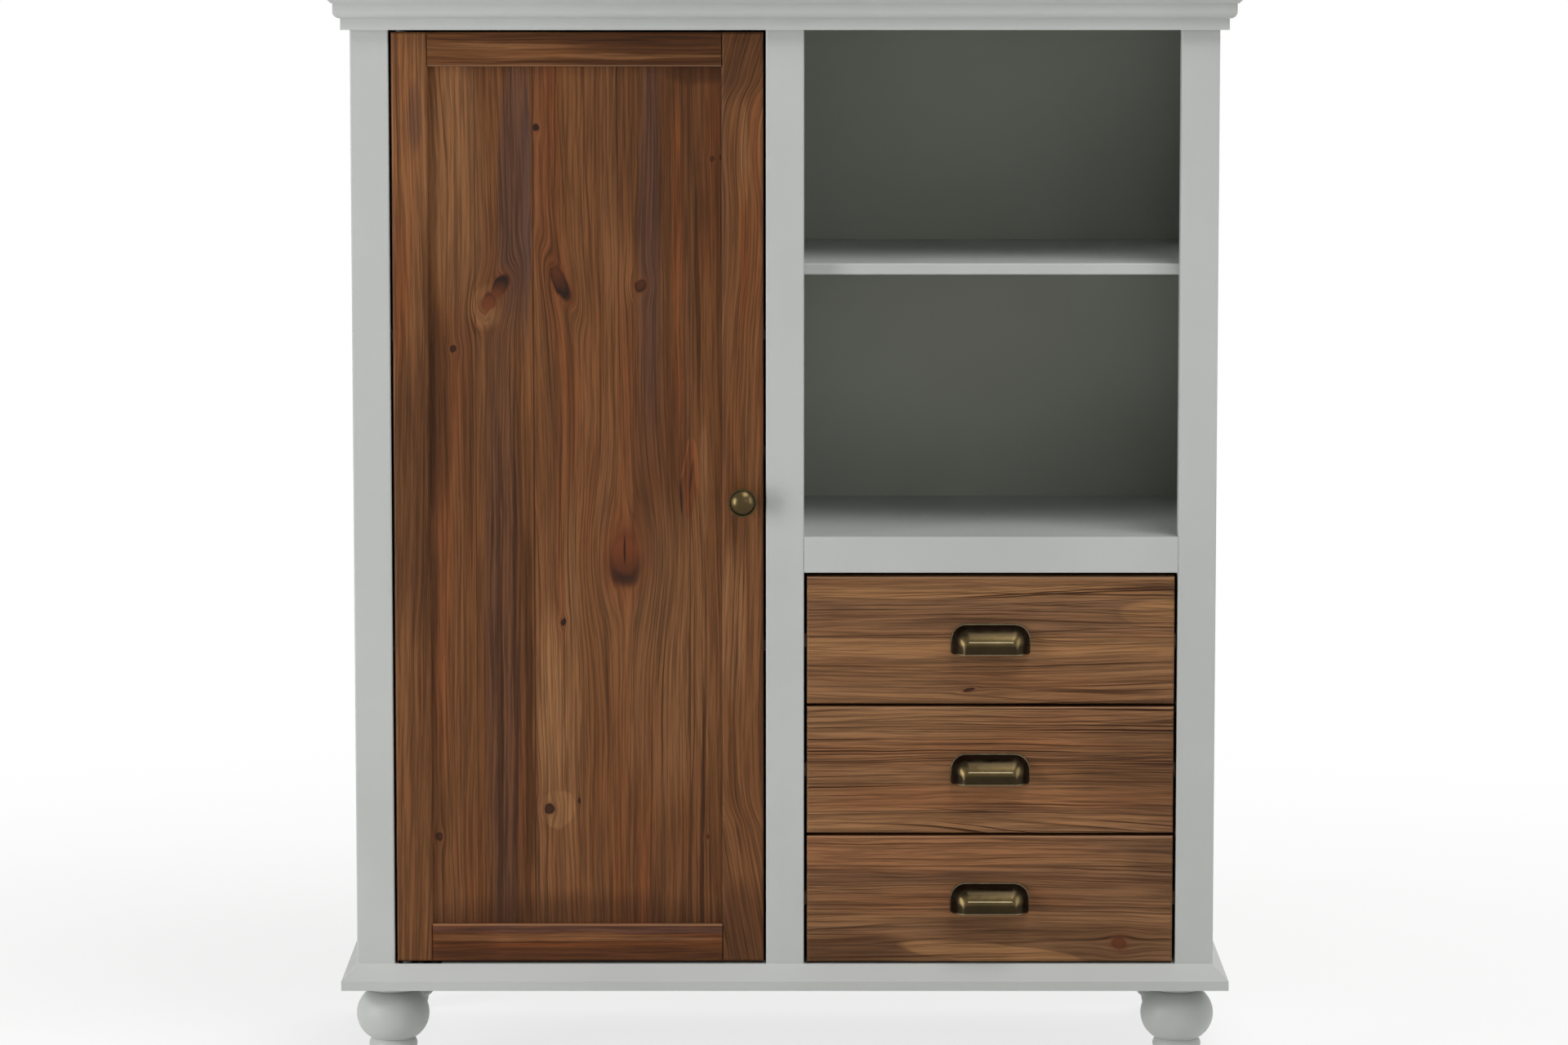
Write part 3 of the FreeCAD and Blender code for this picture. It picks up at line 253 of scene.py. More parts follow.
def build_pine_figure(tree, entry):
    """The ground colour of a board, its dark lines and its fibres."""
    offset = calc_vector(tree, "SCALE", SEED_SHIFT, entry["Seed"])
    spot = calc_vector(tree, "ADD", entry["Vector"], offset)
    flow, across = build_pine_flow(tree, entry, spot)
    shift = calc(tree, "MULTIPLY_ADD", entry["Seed"], -SEED_SHIFT[1], across)
    lines = build_pine_rings(tree, entry, spot, calc(tree, "SUBTRACT", shift, entry["Pith Across"]))
    breaks = sharpened(tree, spot, BREAKS)
    zones = sharpened(tree, spot, ZONES)
    lines = calc(tree, "MULTIPLY", calc(tree, "MULTIPLY", lines, breaks), zones)
    dashes = calc(tree, "MULTIPLY", sharpened(tree, flow, DASHES, 1), sharpened(tree, spot, FADING))
    patches = wander(tree, spot, *PALE_PATCHES, 3)
    streaks = wander(tree, flow, *STREAKS, 2)
    share = calc(tree, "ADD", calc(tree, "ADD", entry["Tone"], patches), streaks, clamp=True)
    ground = mix(tree, share, entry["Dark"], entry["Light"])
    ground = mix(tree, sharpened(tree, flow, WARM_BANDS), ground, entry["Warm"])
    ground = mix(tree, sharpened(tree, flow, GREY_BANDS), ground, entry["Grey"])
    return {
        "Ground": ground,
        "Lines": calc(tree, "MAXIMUM", lines, dashes),
        "Fibre": sharpened(tree, flow, FIBRES, 3, 0.7),
    }


PINE_INPUTS = {
    "Vector": (0, 0, 0),
    "Push": 0.0,
    "Seed": 0.0,
    "Tone": 0.5,
    "Ring Width": 0.007,
    "Pith Across": 0.0,
    "Pith Depth": 0.06,
    "Lean": 0.0,
    "Light": (0.3, 0.15, 0.06, 1),
    "Dark": (0.1, 0.05, 0.02, 1),
    "Grey": (0.1, 0.07, 0.06, 1),
    "Warm": (0.25, 0.09, 0.03, 1),
}
pine_figure = new_group("pine_figure", PINE_INPUTS, build_pine_figure)

# %% [markdown]
# ## Knots
# A knot is the stump of a branch. The grain flows round it like water round a pebble, its heart is red
# or nearly black, and a dark ring of bark may close it in. This group knows one knot as an ellipse. It
# passes on the nearest knot's distance, how dark it is there, and how far the grain is pushed aside, so
# that a row of these groups, one for each knot, gives a whole board.

# %% Knot group
# How fast the push on the grain dies away along the grain and across it, and how strong it is.
PUSH_ALONG = 0.12
PUSH_ACROSS = 0.2
PUSH_ASIDE = -0.85

# A leaning ellipse on a board, for knots and patches.
ELLIPSE = {
    "Vector": (0, 0, 0),
    "Along": 0.0,
    "Across": 0.0,
    "Half Length": 0.01,
    "Half Width": 0.006,
    "Lean": 0.0,
}
NO_KNOT = {"Distance": 9.0, "Push": 0.0, "Darkness": 0.0}


def ellipse(tree, entry):
    """How far a point lies beside a leaning ellipse, and how far up and out in half sizes of it."""
    along, across, _ = put(tree, "SeparateXYZ", {0: entry["Vector"]}).outputs
    rise = calc(tree, "SUBTRACT", along, entry["Along"])
    leaning = calc(tree, "MULTIPLY_ADD", rise, entry["Lean"], entry["Across"])
    side = calc(tree, "SUBTRACT", across, leaning)
    up = calc(tree, "DIVIDE", rise, entry["Half Length"])
    return side, up, calc(tree, "DIVIDE", side, entry["Half Width"])


def build_knot(tree, entry):
    """The nearest knot's distance, counted in its half sizes, its darkness and the push on the grain."""
    side, up, out = ellipse(tree, entry)
    up_squared = calc(tree, "MULTIPLY", up, up)
    out_squared = calc(tree, "MULTIPLY", out, out)
    distance = calc(tree, "SQRT", calc(tree, "ADD", up_squared, out_squared))
    far = calc(tree, "MULTIPLY", out_squared, PUSH_ACROSS)
    far = calc(tree, "MULTIPLY_ADD", up_squared, PUSH_ALONG, far)
    fading = calc(tree, "EXPONENT", calc(tree, "MULTIPLY", far, -1.0))
    shove = calc(tree, "MULTIPLY", calc(tree, "MULTIPLY", side, fading), PUSH_ASIDE)
    here = calc(tree, "MULTIPLY_ADD", up, calc(tree, "MULTIPLY", entry["Sink"], -1.0), entry["Heart"])
    nearer = calc(tree, "LESS_THAN", distance, entry["Distance"])
    gain = calc(tree, "SUBTRACT", here, entry["Darkness"])
    return {
        "Distance": calc(tree, "MINIMUM", distance, entry["Distance"]),
        "Push": calc(tree, "ADD", entry["Push"], shove),
        "Darkness": calc(tree, "MULTIPLY_ADD", nearer, gain, entry["Darkness"]),
    }


knot = new_group("knot", ELLIPSE | NO_KNOT | {"Heart": 0.5, "Sink": 0.0}, build_knot)

# %% [markdown]
# ## Stain and lacquer
# Stain soaks into soft early wood, so the hard lines, the fibres and the knots come out at different
# depths of brown. This group lays all of that over the ground colour. Its height output is for a bump:
# the fibres stand a little proud of the dark lines and of the bark round a knot.

# %% Stain group
# Soft steps over the distance from a knot's middle: a glow round it, its core and a ring of bark.
KNOT_GLOW = (1.0, 2.3, 0.4, 0.0)
KNOT_CORE = (0.8, 1.06, 0.92, 0.0)
BARK_START = (0.6, 0.92)
BARK_END = (0.98, 1.4, 1.0, 0.0)
# The bark is stronger round a dark knot: a soft step over its darkness.
BARK_DEPTH = (0.0, 1.0, 0.15, 0.9)
# Fibres above this level are paler than the ground, and those below it darker.
MIDDLE_FIBRE = 0.6
# Roughness of the ground, and what fibres and lines add to it.
STAIN_ROUGHNESS = 0.52
FIBRE_GLOSS = -0.12
LINE_DULLNESS = 0.12
# How deep lines and bark lie below the fibres, for the bump.
FURROW = -0.6


def build_stain(tree, entry):
    """Lines, fibres and knots over the ground colour."""
    line = calc(tree, "MULTIPLY", entry["Lines"], entry["Line Depth"])
    lined = mix(tree, line, entry["Ground"], entry["Line Color"])
    pale = calc(tree, "SUBTRACT", entry["Fibre"], MIDDLE_FIBRE)
    gain = calc(tree, "MULTIPLY_ADD", pale, entry["Fibre Depth"], 1.0)
    brushed = calc_vector(tree, "SCALE", lined, gain)
    distance = entry["Distance"]
    glowing = mix(tree, step(tree, distance, *KNOT_GLOW), brushed, entry["Heart Color"])
    darkness = calc(tree, "ADD", entry["Darkness"], 0.0, clamp=True)
    heart = mix(tree, darkness, entry["Heart Color"], entry["Bark Color"])
    knotted = mix(tree, step(tree, distance, *KNOT_CORE), glowing, heart)
    rim = calc(tree, "MULTIPLY", step(tree, distance, *BARK_START), step(tree, distance, *BARK_END))
    bark = calc(tree, "MULTIPLY", rim, step(tree, darkness, *BARK_DEPTH))
    dull = calc(tree, "MULTIPLY_ADD", entry["Fibre"], FIBRE_GLOSS, STAIN_ROUGHNESS)
    ridges = calc(tree, "MULTIPLY_ADD", entry["Lines"], FURROW, entry["Fibre"])
    return {
        "Color": mix(tree, bark, knotted, entry["Bark Color"]),
        "Roughness": calc(tree, "MULTIPLY_ADD", entry["Lines"], LINE_DULLNESS, dull),
        "Height": calc(tree, "MULTIPLY_ADD", rim, FURROW, ridges),
    }


STAIN_INPUTS = {
    "Ground": (0.2, 0.1, 0.04, 1),
    "Lines": 0.0,
    "Fibre": 0.5,
    "Distance": 9.0,
    "Darkness": 0.5,
    "Line Color": (0.05, 0.02, 0.01, 1),
    "Heart Color": (0.14, 0.045, 0.015, 1),
    "Bark Color": (0.025, 0.01, 0.006, 1),
    "Line Depth": 0.85,
    "Fibre Depth": 0.6,
}
stain = new_group("stain", STAIN_INPUTS, build_stain)

# %% [markdown]
# ## Patches
# Stained pine is never even. Resin, sapwood and a heavy brush leave long soft patches that are paler,
# redder or greyer than the rest. A patch is a soft ellipse that can lean with the grain.

# %% Patch group
# Where a patch ends and how far its full share reaches, as squares of the distance in half sizes.
PATCH_END = 1.3
PATCH_CORE = 0.25


def build_patch(tree, entry):
    """The patch's share in the core of an ellipse, fading to 0 just outside it."""
    _, up, out = ellipse(tree, entry)
    squares = calc(tree, "MULTIPLY_ADD", up, up, calc(tree, "MULTIPLY", out, out))
    mask = step(tree, squares, entry["Core"], PATCH_END, 1.0, 0.0)
    return {"Mask": calc(tree, "MULTIPLY", mask, entry["Share"])}


patch = new_group("patch", ELLIPSE | {"Share": 0.5, "Core": PATCH_CORE}, build_patch)

# %% [markdown]
# ## One stained board after another
# The door panel is glued up from strips, and so is each drawer front, so a board's material first asks
# which strip a point lies in. A colour ramp with hard steps does that: its red, green and blue carry the
# strip's tone, its seed and the place of its pith. Knots and patches are then laid on in millimetres.

# %% Tones of the stain
DOOR_TONES = {
    "Light": colour(128, 86, 54),
    "Dark": colour(88, 51, 23),
    "Grey": colour(83, 53, 35),
    "Warm": colour(122, 66, 33),
}
DRAWER_TONES = {
    "Light": colour(145, 106, 72),
    "Dark": colour(95, 62, 37),
    "Grey": colour(97, 71, 54),
    "Warm": colour(133, 82, 49),
}
PINE_GREY = colour(77, 54, 46)
PINE_WARM = DOOR_TONES["Warm"]
PINE_GOLD = colour(140, 98, 63)
PALE_GOLD = colour(168, 122, 79)
WARM_GOLD = colour(155, 104, 67)
FLAME = colour(143, 83, 47)
LINE_BROWN = colour(53, 28, 10)
BARK_BROWN = colour(29, 17, 12)
HEART_RED = colour(104, 55, 30)
# The pale colour of the painted highlights along eased edges of the stained boards.
EDGE_HIGHLIGHT_PINE = colour(166, 128, 96)
print(len(DOOR_TONES), "tones for the door and", len(DRAWER_TONES), "for the drawers")

# %% Grain, strips and bends
# Axes along the grain, across it and into the board.
ALONG_Z = ("Z", "X", "Y")
ALONG_X = ("X", "Z", "Y")
# A ramp holds values from 0 to 1, so it takes seeds up to this, and a pith within so many board widths.
SEED_SPAN = 10.0
PITH_SPAN = 3
# Waves per metre and reach in metres of the wobble of knots and patches.
WOBBLE_WAVES = (12, 60, 60)
WOBBLE_REACH = 0.009


def grain_frame(tree, place, order):
    """Coordinates along the grain, across it on the face, and into the board."""
    parts = put(tree, "SeparateXYZ", {0: place}).outputs
    return put(tree, "CombineXYZ", dict(enumerate(parts[axis] for axis in order))).outputs[0]


def share_between(tree, value, low, high):
    """Where a value lies between two millimetre marks, from 0 to 1."""
    feeds = {"Value": value, "From Min": low * MM, "From Max": high * MM}
    return put(tree, "MapRange", feeds).outputs[0]


def strip_values(tree, vector, low, strips):
    """Tone, seed and pith of the strip that a point lies in. A strip starts with (end, tone, seed, pith)."""
    high = strips[-1][0]
    ramp = put(tree, "ValToRGB", {0: share_between(tree, coordinate(tree, vector, "Y"), low, high)})
    ramp.color_ramp.interpolation = "CONSTANT"
    start = low
    for index, (end, tone, seed, pith, *_) in enumerate(strips):
        share = (start - low) / (high - low)
        stops = ramp.color_ramp.elements
        stop = stops.new(share) if index else stops[0]
        level = ((pith - low) / (high - low) + 1) / PITH_SPAN
        stop.color = (tone, seed / SEED_SPAN, level, 1)
        start = end
    tone, seed, pith = put(tree, "SeparateColor", {0: ramp.outputs[0]}).outputs
    width = (high - low) * MM
    pith = calc(tree, "MULTIPLY_ADD", pith, PITH_SPAN * width, low * MM - width)
    return tone, calc(tree, "MULTIPLY", seed, SEED_SPAN), pith


def waver(tree, vector):
    """The same coordinates with a few millimetres of wobble, so that no ellipse looks drawn."""
    noise = stretched_noise(tree, vector, WOBBLE_WAVES, output="Color")
    centred = calc_vector(tree, "SUBTRACT", noise, (0.5, 0.5, 0.5))
    return calc_vector(tree, "ADD", vector, calc_vector(tree, "SCALE", centred, WOBBLE_REACH))


def grain_bend(tree, vector, bends):
    """How far the grain of a board is pushed aside: a smooth curve through (along, aside)."""
    low = bends[0][0]
    high = bends[-1][0]
    reach = max(aside for _, aside in bends)
    share = share_between(tree, coordinate(tree, vector, "X"), low, high)
    curve = put(tree, "FloatCurve", {"Value": share})
    points = curve.mapping.curves[0].points
    points[0].location = (0, bends[0][1] / reach)
    points[1].location = (1, bends[-1][1] / reach)
    for spot, aside in bends[1:-1]:
        points.new((spot - low) / (high - low), aside / reach)
    curve.mapping.update()
    return calc(tree, "MULTIPLY", curve.outputs[0], -reach * MM)


print("boards lie", ALONG_X, ALONG_Z)

# %% Knots and patches on a board
# Middle and half length of a glue joint, by the way that the grain runs.
JOINT_SPANS = {ALONG_Z: (611, 1200), ALONG_X: (217, 900)}
# A painted highlight along an eased edge: its half length and half width in millimetres, and its share.
EDGE_HIGHLIGHT_LENGTH = 2000
EDGE_HIGHLIGHT_WIDTH = 0.9
EDGE_HIGHLIGHT_SHARE = 0.45


def ellipse_feeds(vector, along, across, length, width, lean=0.0):
    """The inputs that knots and patches share, from millimetres."""
    return {
        "Vector": vector,
        "Along": along * MM,
        "Across": across * MM,
        "Half Length": length * MM,
        "Half Width": width * MM,
        "Lean": lean,
    }


def lay_knots(tree, vector, knots, push):
    """A row of knot groups. A knot is (along, across, half length, half width, lean, heart, sink)."""
    state = {"Push": push}
    for *oval, heart, sink in knots:
        feeds = ellipse_feeds(vector, *oval) | {"Heart": heart, "Sink": sink}
        state = use_group(tree, knot, feeds | state)
    return state


def lay_patches(tree, vector, ground, patches, core=PATCH_CORE):
    """Patches over a colour: (along, across, half length, half width, share, tint), and a lean if any."""
    for along, across, length, width, share, tint, *lean in patches:
        feeds = ellipse_feeds(vector, along, across, length, width, *lean)
        feeds |= {"Share": share, "Core": core}
        ground = mix(tree, use_group(tree, patch, feeds)["Mask"], ground, tint)
    return ground


def glue_joints(order, strips):
    """A thin dark line after each strip but the last. Its half width and share end the strip's row."""
    middle, length = JOINT_SPANS[order]
    return [(middle, strip[0], length, *strip[-2:], LINE_BROWN) for strip in strips[:-1]]


def painted_edge_highlight(name, end, below):
    """A painted highlight: a thin pale line so far below a board's lower (0) or upper (1) eased edge."""
    low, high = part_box(name)
    level = (low, high)[end].z / MM - below
    middle = (low.x + high.x) / 2 / MM
    return (middle, level, EDGE_HIGHLIGHT_LENGTH, EDGE_HIGHLIGHT_WIDTH, EDGE_HIGHLIGHT_SHARE, EDGE_HIGHLIGHT_PINE)


print("knots and patches ready")

# %% Stained board
STAIN_SHEEN = 0.14
STAIN_BUMP = 0.25
STAIN_DEPTH = 0.4 * MM
TONGUE_CORE = 0.95


def stained_board(
    node,
    name,
    tones,
    order,
    start,
    strips,
    ring=5,
    lean=0.0,
    line=0.7,
    bends=(),
    knots=(),
    patches=(),
    tongues=(),
    marks=(),
):
    """Stain one CAD node, in millimetres. Its strips lie side by side across the grain from start."""
    material, tree, shader, place = new_material(name)
    vector = grain_frame(tree, place, order)
    wavering = waver(tree, vector)
    tone, seed, pith = strip_values(tree, vector, start, strips)
    state = lay_knots(tree, wavering, knots, grain_bend(tree, vector, bends) if bends else 0.0)
    feeds = {
        "Vector": vector,
        "Push": state.pop("Push"),
        "Seed": seed,
        "Tone": tone,
        "Ring Width": ring * MM,
        "Pith Across": pith,
        "Lean": lean,
    }
    figure = use_group(tree, pine_figure, feeds | tones)
    ground = lay_patches(tree, wavering, figure["Ground"], patches)
    feeds = {
        "Ground": lay_patches(tree, wavering, ground, tongues, TONGUE_CORE),
        "Line Color": LINE_BROWN,
        "Line Depth": line,
        "Heart Color": HEART_RED,
        "Bark Color": BARK_BROWN,
    }
    finish = use_group(tree, stain, figure | state | feeds)
    dress(tree, shader, finish, STAIN_SHEEN)
    lines = [*glue_joints(order, strips), *marks]
    tree.links.new(lay_patches(tree, vector, finish["Color"], lines), shader["Base Color"])
    bump(tree, shader, finish["Height"], STAIN_BUMP, STAIN_DEPTH)
    wear(material, node)
    print(name, "on", node, "with", len(tree.nodes), "nodes")


print("stained board ready")

# %% [markdown]
# ## The door
# The panel is glued up from five strips of knotty pine and floats in the groove of a mortised frame.
# Each strip came from another part of the tree, so tone and lines change at the glue joints. The knots
# stand where they stand on the real door. The stiles run upright and the rails across.

# %% Door panel
stained_board(
    "door_panel",
    "stained_panel",
    DOOR_TONES,
    ALONG_Z,
    -400,
    [
        (-325, 0.45, 1.3, -430, 0.8, 0.5),
        (-264, 0.3, 2.7, -230, 0.9, 0.75),
        (-160, 0.55, 4.1, -300, 0.7, 0.4),
        (-100, 0.3, 5.9, -60, 0.7, 0.35),
        (-40, 0.45, 7.2, -200),
    ],
    knots=[
        (1003, -260, 3.4, 3.1, 0.0, 1.1, 0.0),
        (971, -77, 2.6, 2.2, 0.0, 0.7, 0.0),
        (973, -67, 2.6, 1.8, 0.0, 0.7, 0.0),
        (836, -299, 12, 7, 0.4, 0.6, -0.6),
        (820, -310, 9, 8, 0.2, 0.2, -0.3),
        (843, -236, 17, 7, -0.4, 0.7, 0.45),
        (838, -152, 6, 5.2, 0.0, 0.65, 0.1),
        (771, -348, 3.2, 3, 0.0, 0.9, 0.0),
        (551, -169, 27, 17, 0.0, 0.2, 0.6),
        (482, -233, 3.1, 2.7, 0.0, 1.0, 0.0),
        (281, -249, 4.9, 4.6, 0.0, 0.9, 0.0),
        (289, -219, 2.6, 1.3, 0.0, 0.9, 0.0),
        (252, -367, 4, 3.6, 0.0, 0.7, 0.0),
        (252, -82, 2.4, 1.8, 0.0, 0.6, 0.0),
    ],
    patches=[
        (950, -345, 150, 34, 0.4, PINE_GOLD),
        (940, -284, 160, 19, 0.65, PINE_GREY),
        (930, -271, 170, 6, 0.7, PINE_GREY),
        (1000, -120, 150, 90, 0.38, LINE_BROWN),
        (880, -143, 240, 12, 0.55, PINE_GREY),
        (850, -112, 230, 7, 0.45, PINE_WARM),
        (710, -364, 120, 17, 0.6, LINE_BROWN),
        (450, -297, 420, 22, 0.35, PINE_GREY),
        (430, -302, 330, 4, 0.6, LINE_BROWN),
        (400, -285, 290, 3, 0.6, LINE_BROWN),
        (400, -270, 290, 5, 0.65, LINE_BROWN),
        (390, -247, 110, 17, 0.85, PINE_GOLD),
        (430, -225, 200, 9, 0.45, PINE_GOLD),
        (440, -125, 170, 55, 0.35, PINE_GOLD),
        (814, -314, 24, 17, 0.6, PINE_GOLD),
        (630, -86, 70, 6, 0.5, PINE_GOLD),
        (145, -215, 50, 200, 0.55, LINE_BROWN),
        (1062, -88, 14, 40, 0.6, LINE_BROWN),
    ],
    tongues=[
        (281, -241, 19, 17, 0.8, PINE_GOLD),
        (633, -101, 40, 8.5, 0.6, HEART_RED),
        (656, -104.5, 21, 1.7, 0.6, FLAME, 0.25),
        (645, -92.5, 30, 2, 0.6, FLAME, -0.08),
    ],
    marks=[
        (558, -169, 17, 1.4, 0.85, BARK_BROWN),
        (613, -109.5, 20, 1.2, 0.9, BARK_BROWN, -0.05),
        (636, -98.7, 20, 1.3, 0.6, BARK_BROWN, 0.12),
    ],
)

# %% Door stiles
# Heights on the knob stile, and how far its grain sways aside there.
SWAY = ((105, 38), (258, 14), (330, 1), (497, 7), (777, 18), (910, 27), (980, 24), (1055, 44), (1108, 60))
stained_board(
    "door_hinge_stile",
    "stained_hinge_stile",
    DOOR_TONES,
    ALONG_Z,
    -420,
    [(-360, 0.55, 3.4, -500)],
    ring=6,
    patches=[
        (1050, -392, 190, 40, 0.4, PINE_GOLD),
        (620, -388, 170, 26, 0.5, LINE_BROWN),
        (1015, -386, 40, 7, 0.5, PINE_GREY),
    ],
)
stained_board(
    "door_knob_stile",
    "stained_knob_stile",
    DOOR_TONES,
    ALONG_Z,
    -80,
    [(-10, 0.5, 6.3, -500)],
    ring=6.5,
    bends=SWAY,
    patches=[
        (1085, -45, 60, 40, 0.4, LINE_BROWN),
        (480, -54, 90, 14, 0.45, PINE_GOLD),
        (970, -43, 60, 5, 0.6, PINE_GOLD),
        (880, -43, 90, 4, 0.5, PINE_WARM),
        (611, -22, 480, 6, 0.4, LINE_BROWN),
        (150, -40, 60, 40, 0.45, LINE_BROWN),
    ],
)

# %% Door rails
stained_board(
    "door_rail_top",
    "stained_top_rail",
    DOOR_TONES,
    ALONG_X,
    1060,
    [(1110, 0.35, 8.1, 1020)],
    patches=[
        (-60, 1086, 170, 60, 0.6, LINE_BROWN),
        (-210, 1096, 140, 5, 0.45, LINE_BROWN),
        (-300, 1089, 90, 3, 0.5, PINE_GOLD),
        (-180, 1078, 160, 3, 0.4, PINE_GOLD),
        (-250, 1072, 150, 2, 0.5, LINE_BROWN),
    ],
    # A painted highlight along the rail's lower edge.
    marks=[painted_edge_highlight("door_rail_top", 0, -0.8)],
)
stained_board(
    "door_rail_bottom",
    "stained_bottom_rail",
    DOOR_TONES,
    ALONG_X,
    110,
    [(165, 0.1, 9.2, 60)],
    patches=[
        (-220, 153, 260, 5, 0.7, PINE_GREY),
        (-225, 144, 190, 5, 0.5, PINE_GOLD),
        (-220, 126, 260, 8, 0.5, LINE_BROWN),
        (-340, 138, 40, 30, 0.35, LINE_BROWN),
    ],
    # A painted highlight along the rail's upper edge.
    marks=[painted_edge_highlight("door_rail_bottom", 1, 0.8)],
)

# %% [markdown]
# ## The drawer fronts
# Each front is two boards glued edge to edge with the grain lying across, so their joint is a line
# from end to end.

# %% Drawer fronts
stained_board(
    "drawer_upper_front",
    "stained_drawer_upper",
    DRAWER_TONES,
    ALONG_X,
    380,
    [(466, 0.62, 1.9, 320, 0.7, 0.6), (545, 0.6, 3.2, 640)],
    lean=0.05,
    line=0.95,
    knots=[(194, 411, 5, 1.7, 0.15, 0.8, 0.0)],
    patches=[
        (190, 497, 320, 28, 0.3, DRAWER_TONES["Grey"]),
        (150, 514, 330, 8, 0.4, PALE_GOLD),
        (230, 456, 330, 11, 0.38, PALE_GOLD),
        (385, 517, 55, 8, 0.3, LINE_BROWN),
    ],
    tongues=[(418, 492, 62, 15, 0.42, PALE_GOLD)],
    # A painted highlight along the front's upper edge.
    marks=[painted_edge_highlight("drawer_upper_front", 1, 1.0)],
)
stained_board(
    "drawer_middle_front",
    "stained_drawer_middle",
    DRAWER_TONES,
    ALONG_X,
    240,
    [(309, 0.78, 5.1, 180, 0.6, 0.45), (405, 0.6, 6.6, 470)],
    lean=0.06,
    line=1.25,
    patches=[
        (400, 325, 110, 60, 0.35, LINE_BROWN),
        (100, 270, 150, 14, 0.25, PALE_GOLD),
        (310, 272, 90, 9, 0.4, PALE_GOLD),
    ],
    # A painted highlight along the front's upper edge.
    marks=[painted_edge_highlight("drawer_middle_front", 1, 1.0)],
)
stained_board(
    "drawer_lower_front",
    "stained_drawer_lower",
    DRAWER_TONES,
    ALONG_X,
    105,
    [(221, 0.62, 7.7, 40, 0.7, 0.6), (265, 0.7, 8.8, 330)],
    lean=-0.04,
    line=0.85,
    knots=[(355, 138, 7, 6, 0.0, 0.25, 0.0)],
    patches=[
        (70, 131, 80, 21, 0.6, LINE_BROWN),
        (290, 138, 160, 27, 0.4, LINE_BROWN),
        (110, 239, 240, 28, 0.5, WARM_GOLD),
        (410, 225, 50, 40, 0.3, LINE_BROWN),
    ],
    tongues=[(222, 126, 95, 11, 0.48, PALE_GOLD, -0.11)],
    # A painted highlight along the front's upper edge.
    marks=[painted_edge_highlight("drawer_lower_front", 1, 1.0)],
)

# %% [markdown]
# ## Paint
# The case is painted a light grey with a satin sheen. A roller leaves a very fine stipple, and no two
# strokes are quite alike, so the tint drifts a little along a board.

# %% Paint
PAINT_GREY = colour(187, 189, 187)
PAINT_SHADE = colour(181, 183, 180)
PAINT_SHEEN = 0.3
PAINT_BUMP = 0.06
PAINT_DEPTH = 0.15 * MM
TINT_DRIFT = ((4, 4, 4), (0.35, 0.65))
STIPPLE_WAVES = (420, 420, 420)
STIPPLE_ROUGHNESS = (0.3, 0.7, 0.4, 0.5)
# The painted pieces, by the start of their names.
CASE = ("base", "top", "side_panel", "partition", "stile", "cornice", "foot_front", "foot_back")
SHELVES = ("niche", "cupboard_shelf")


def build_rolled_paint(tree, entry):
    """A tint that drifts, and the stipple of a roller."""
    drift = sharpened(tree, entry["Vector"], TINT_DRIFT, 3)
    stipple = stretched_noise(tree, entry["Vector"], STIPPLE_WAVES)
    return {
        "Color": mix(tree, drift, entry["Pale"], entry["Deep"]),
        "Roughness": step(tree, stipple, *STIPPLE_ROUGHNESS),
        "Height": stipple,
    }


PAINT_INPUTS = {"Vector": (0, 0, 0), "Pale": PAINT_GREY, "Deep": PAINT_SHADE}
rolled_paint = new_group("rolled_paint", PAINT_INPUTS, build_rolled_paint)


def painted(name, pale=PAINT_GREY, deep=PAINT_SHADE):
    """A material of rolled paint, its parts and the coat of paint in it."""
    material, tree, shader, place = new_material(name)
    coat = use_group(tree, rolled_paint, {"Vector": place, "Pale": pale, "Deep": deep})
    dress(tree, shader, coat, PAINT_SHEEN)
    bump(tree, shader, coat["Height"], PAINT_BUMP, PAINT_DEPTH)
    return material, tree, shader, place, coat


grey_paint = painted("grey_paint")[0]
wear(grey_paint, *(name for name in nodes if name.startswith(CASE + SHELVES)))
print(grey_paint.name, "on", grey_paint.users, "pieces")

# %% [markdown]
# The back is a thin sheet of fibreboard. Only the side that shows in the niche is painted; from behind
# it is bare and brown, and the brown warms the thin paint a little. The two faces are told apart by
# where they lie.

# %% Back panel
BACK_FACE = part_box("back_panel")[1].y
SHEET_GREY = colour(187, 189, 178)
SHEET_SHADE = colour(180, 182, 170)
BOARD_BROWN = colour(133, 102, 70)
FLECK_BROWN = colour(104, 78, 52)
FLECKS = ((260, 260, 260), (0.3, 0.7, 0.0, 0.35))
PAINT_ENDS = BACK_FACE - 1.5 * MM
BARE_STARTS = BACK_FACE - 0.5 * MM

painted_sheet, tree, shader, place, coat = painted("painted_sheet", SHEET_GREY, SHEET_SHADE)
bare = step(tree, coordinate(tree, place, "Y"), PAINT_ENDS, BARE_STARTS)
fibres = mix(tree, sharpened(tree, place, FLECKS, 3), BOARD_BROWN, FLECK_BROWN)
tree.links.new(mix(tree, bare, coat["Color"], fibres), shader["Base Color"])
wear(painted_sheet, "back_panel")
print(painted_sheet.name, "bare behind", round(BARE_STARTS, 4))

# %% [markdown]
# ## Inside woods, plastic and steel
# The drawer boxes are pale unstained pine with hardboard bottoms, the runners and dowels are beech, and
# the fittings are zinc plated or dark steel, white nylon and brown plastic.

# %% Inner finishes
LEVELS = ("lower", "middle", "upper")
ALONG_Y = ("Y", "Z", "X")
BARE_TONE = 0.6
BARE_FIBRE = 0.12
BARE_SHEEN = 0.3
EVEN_WAVES = (60, 60, 60)
EVEN_RANGE = (0.3, 0.7)
ROUGHNESS_DRIFT = 0.1


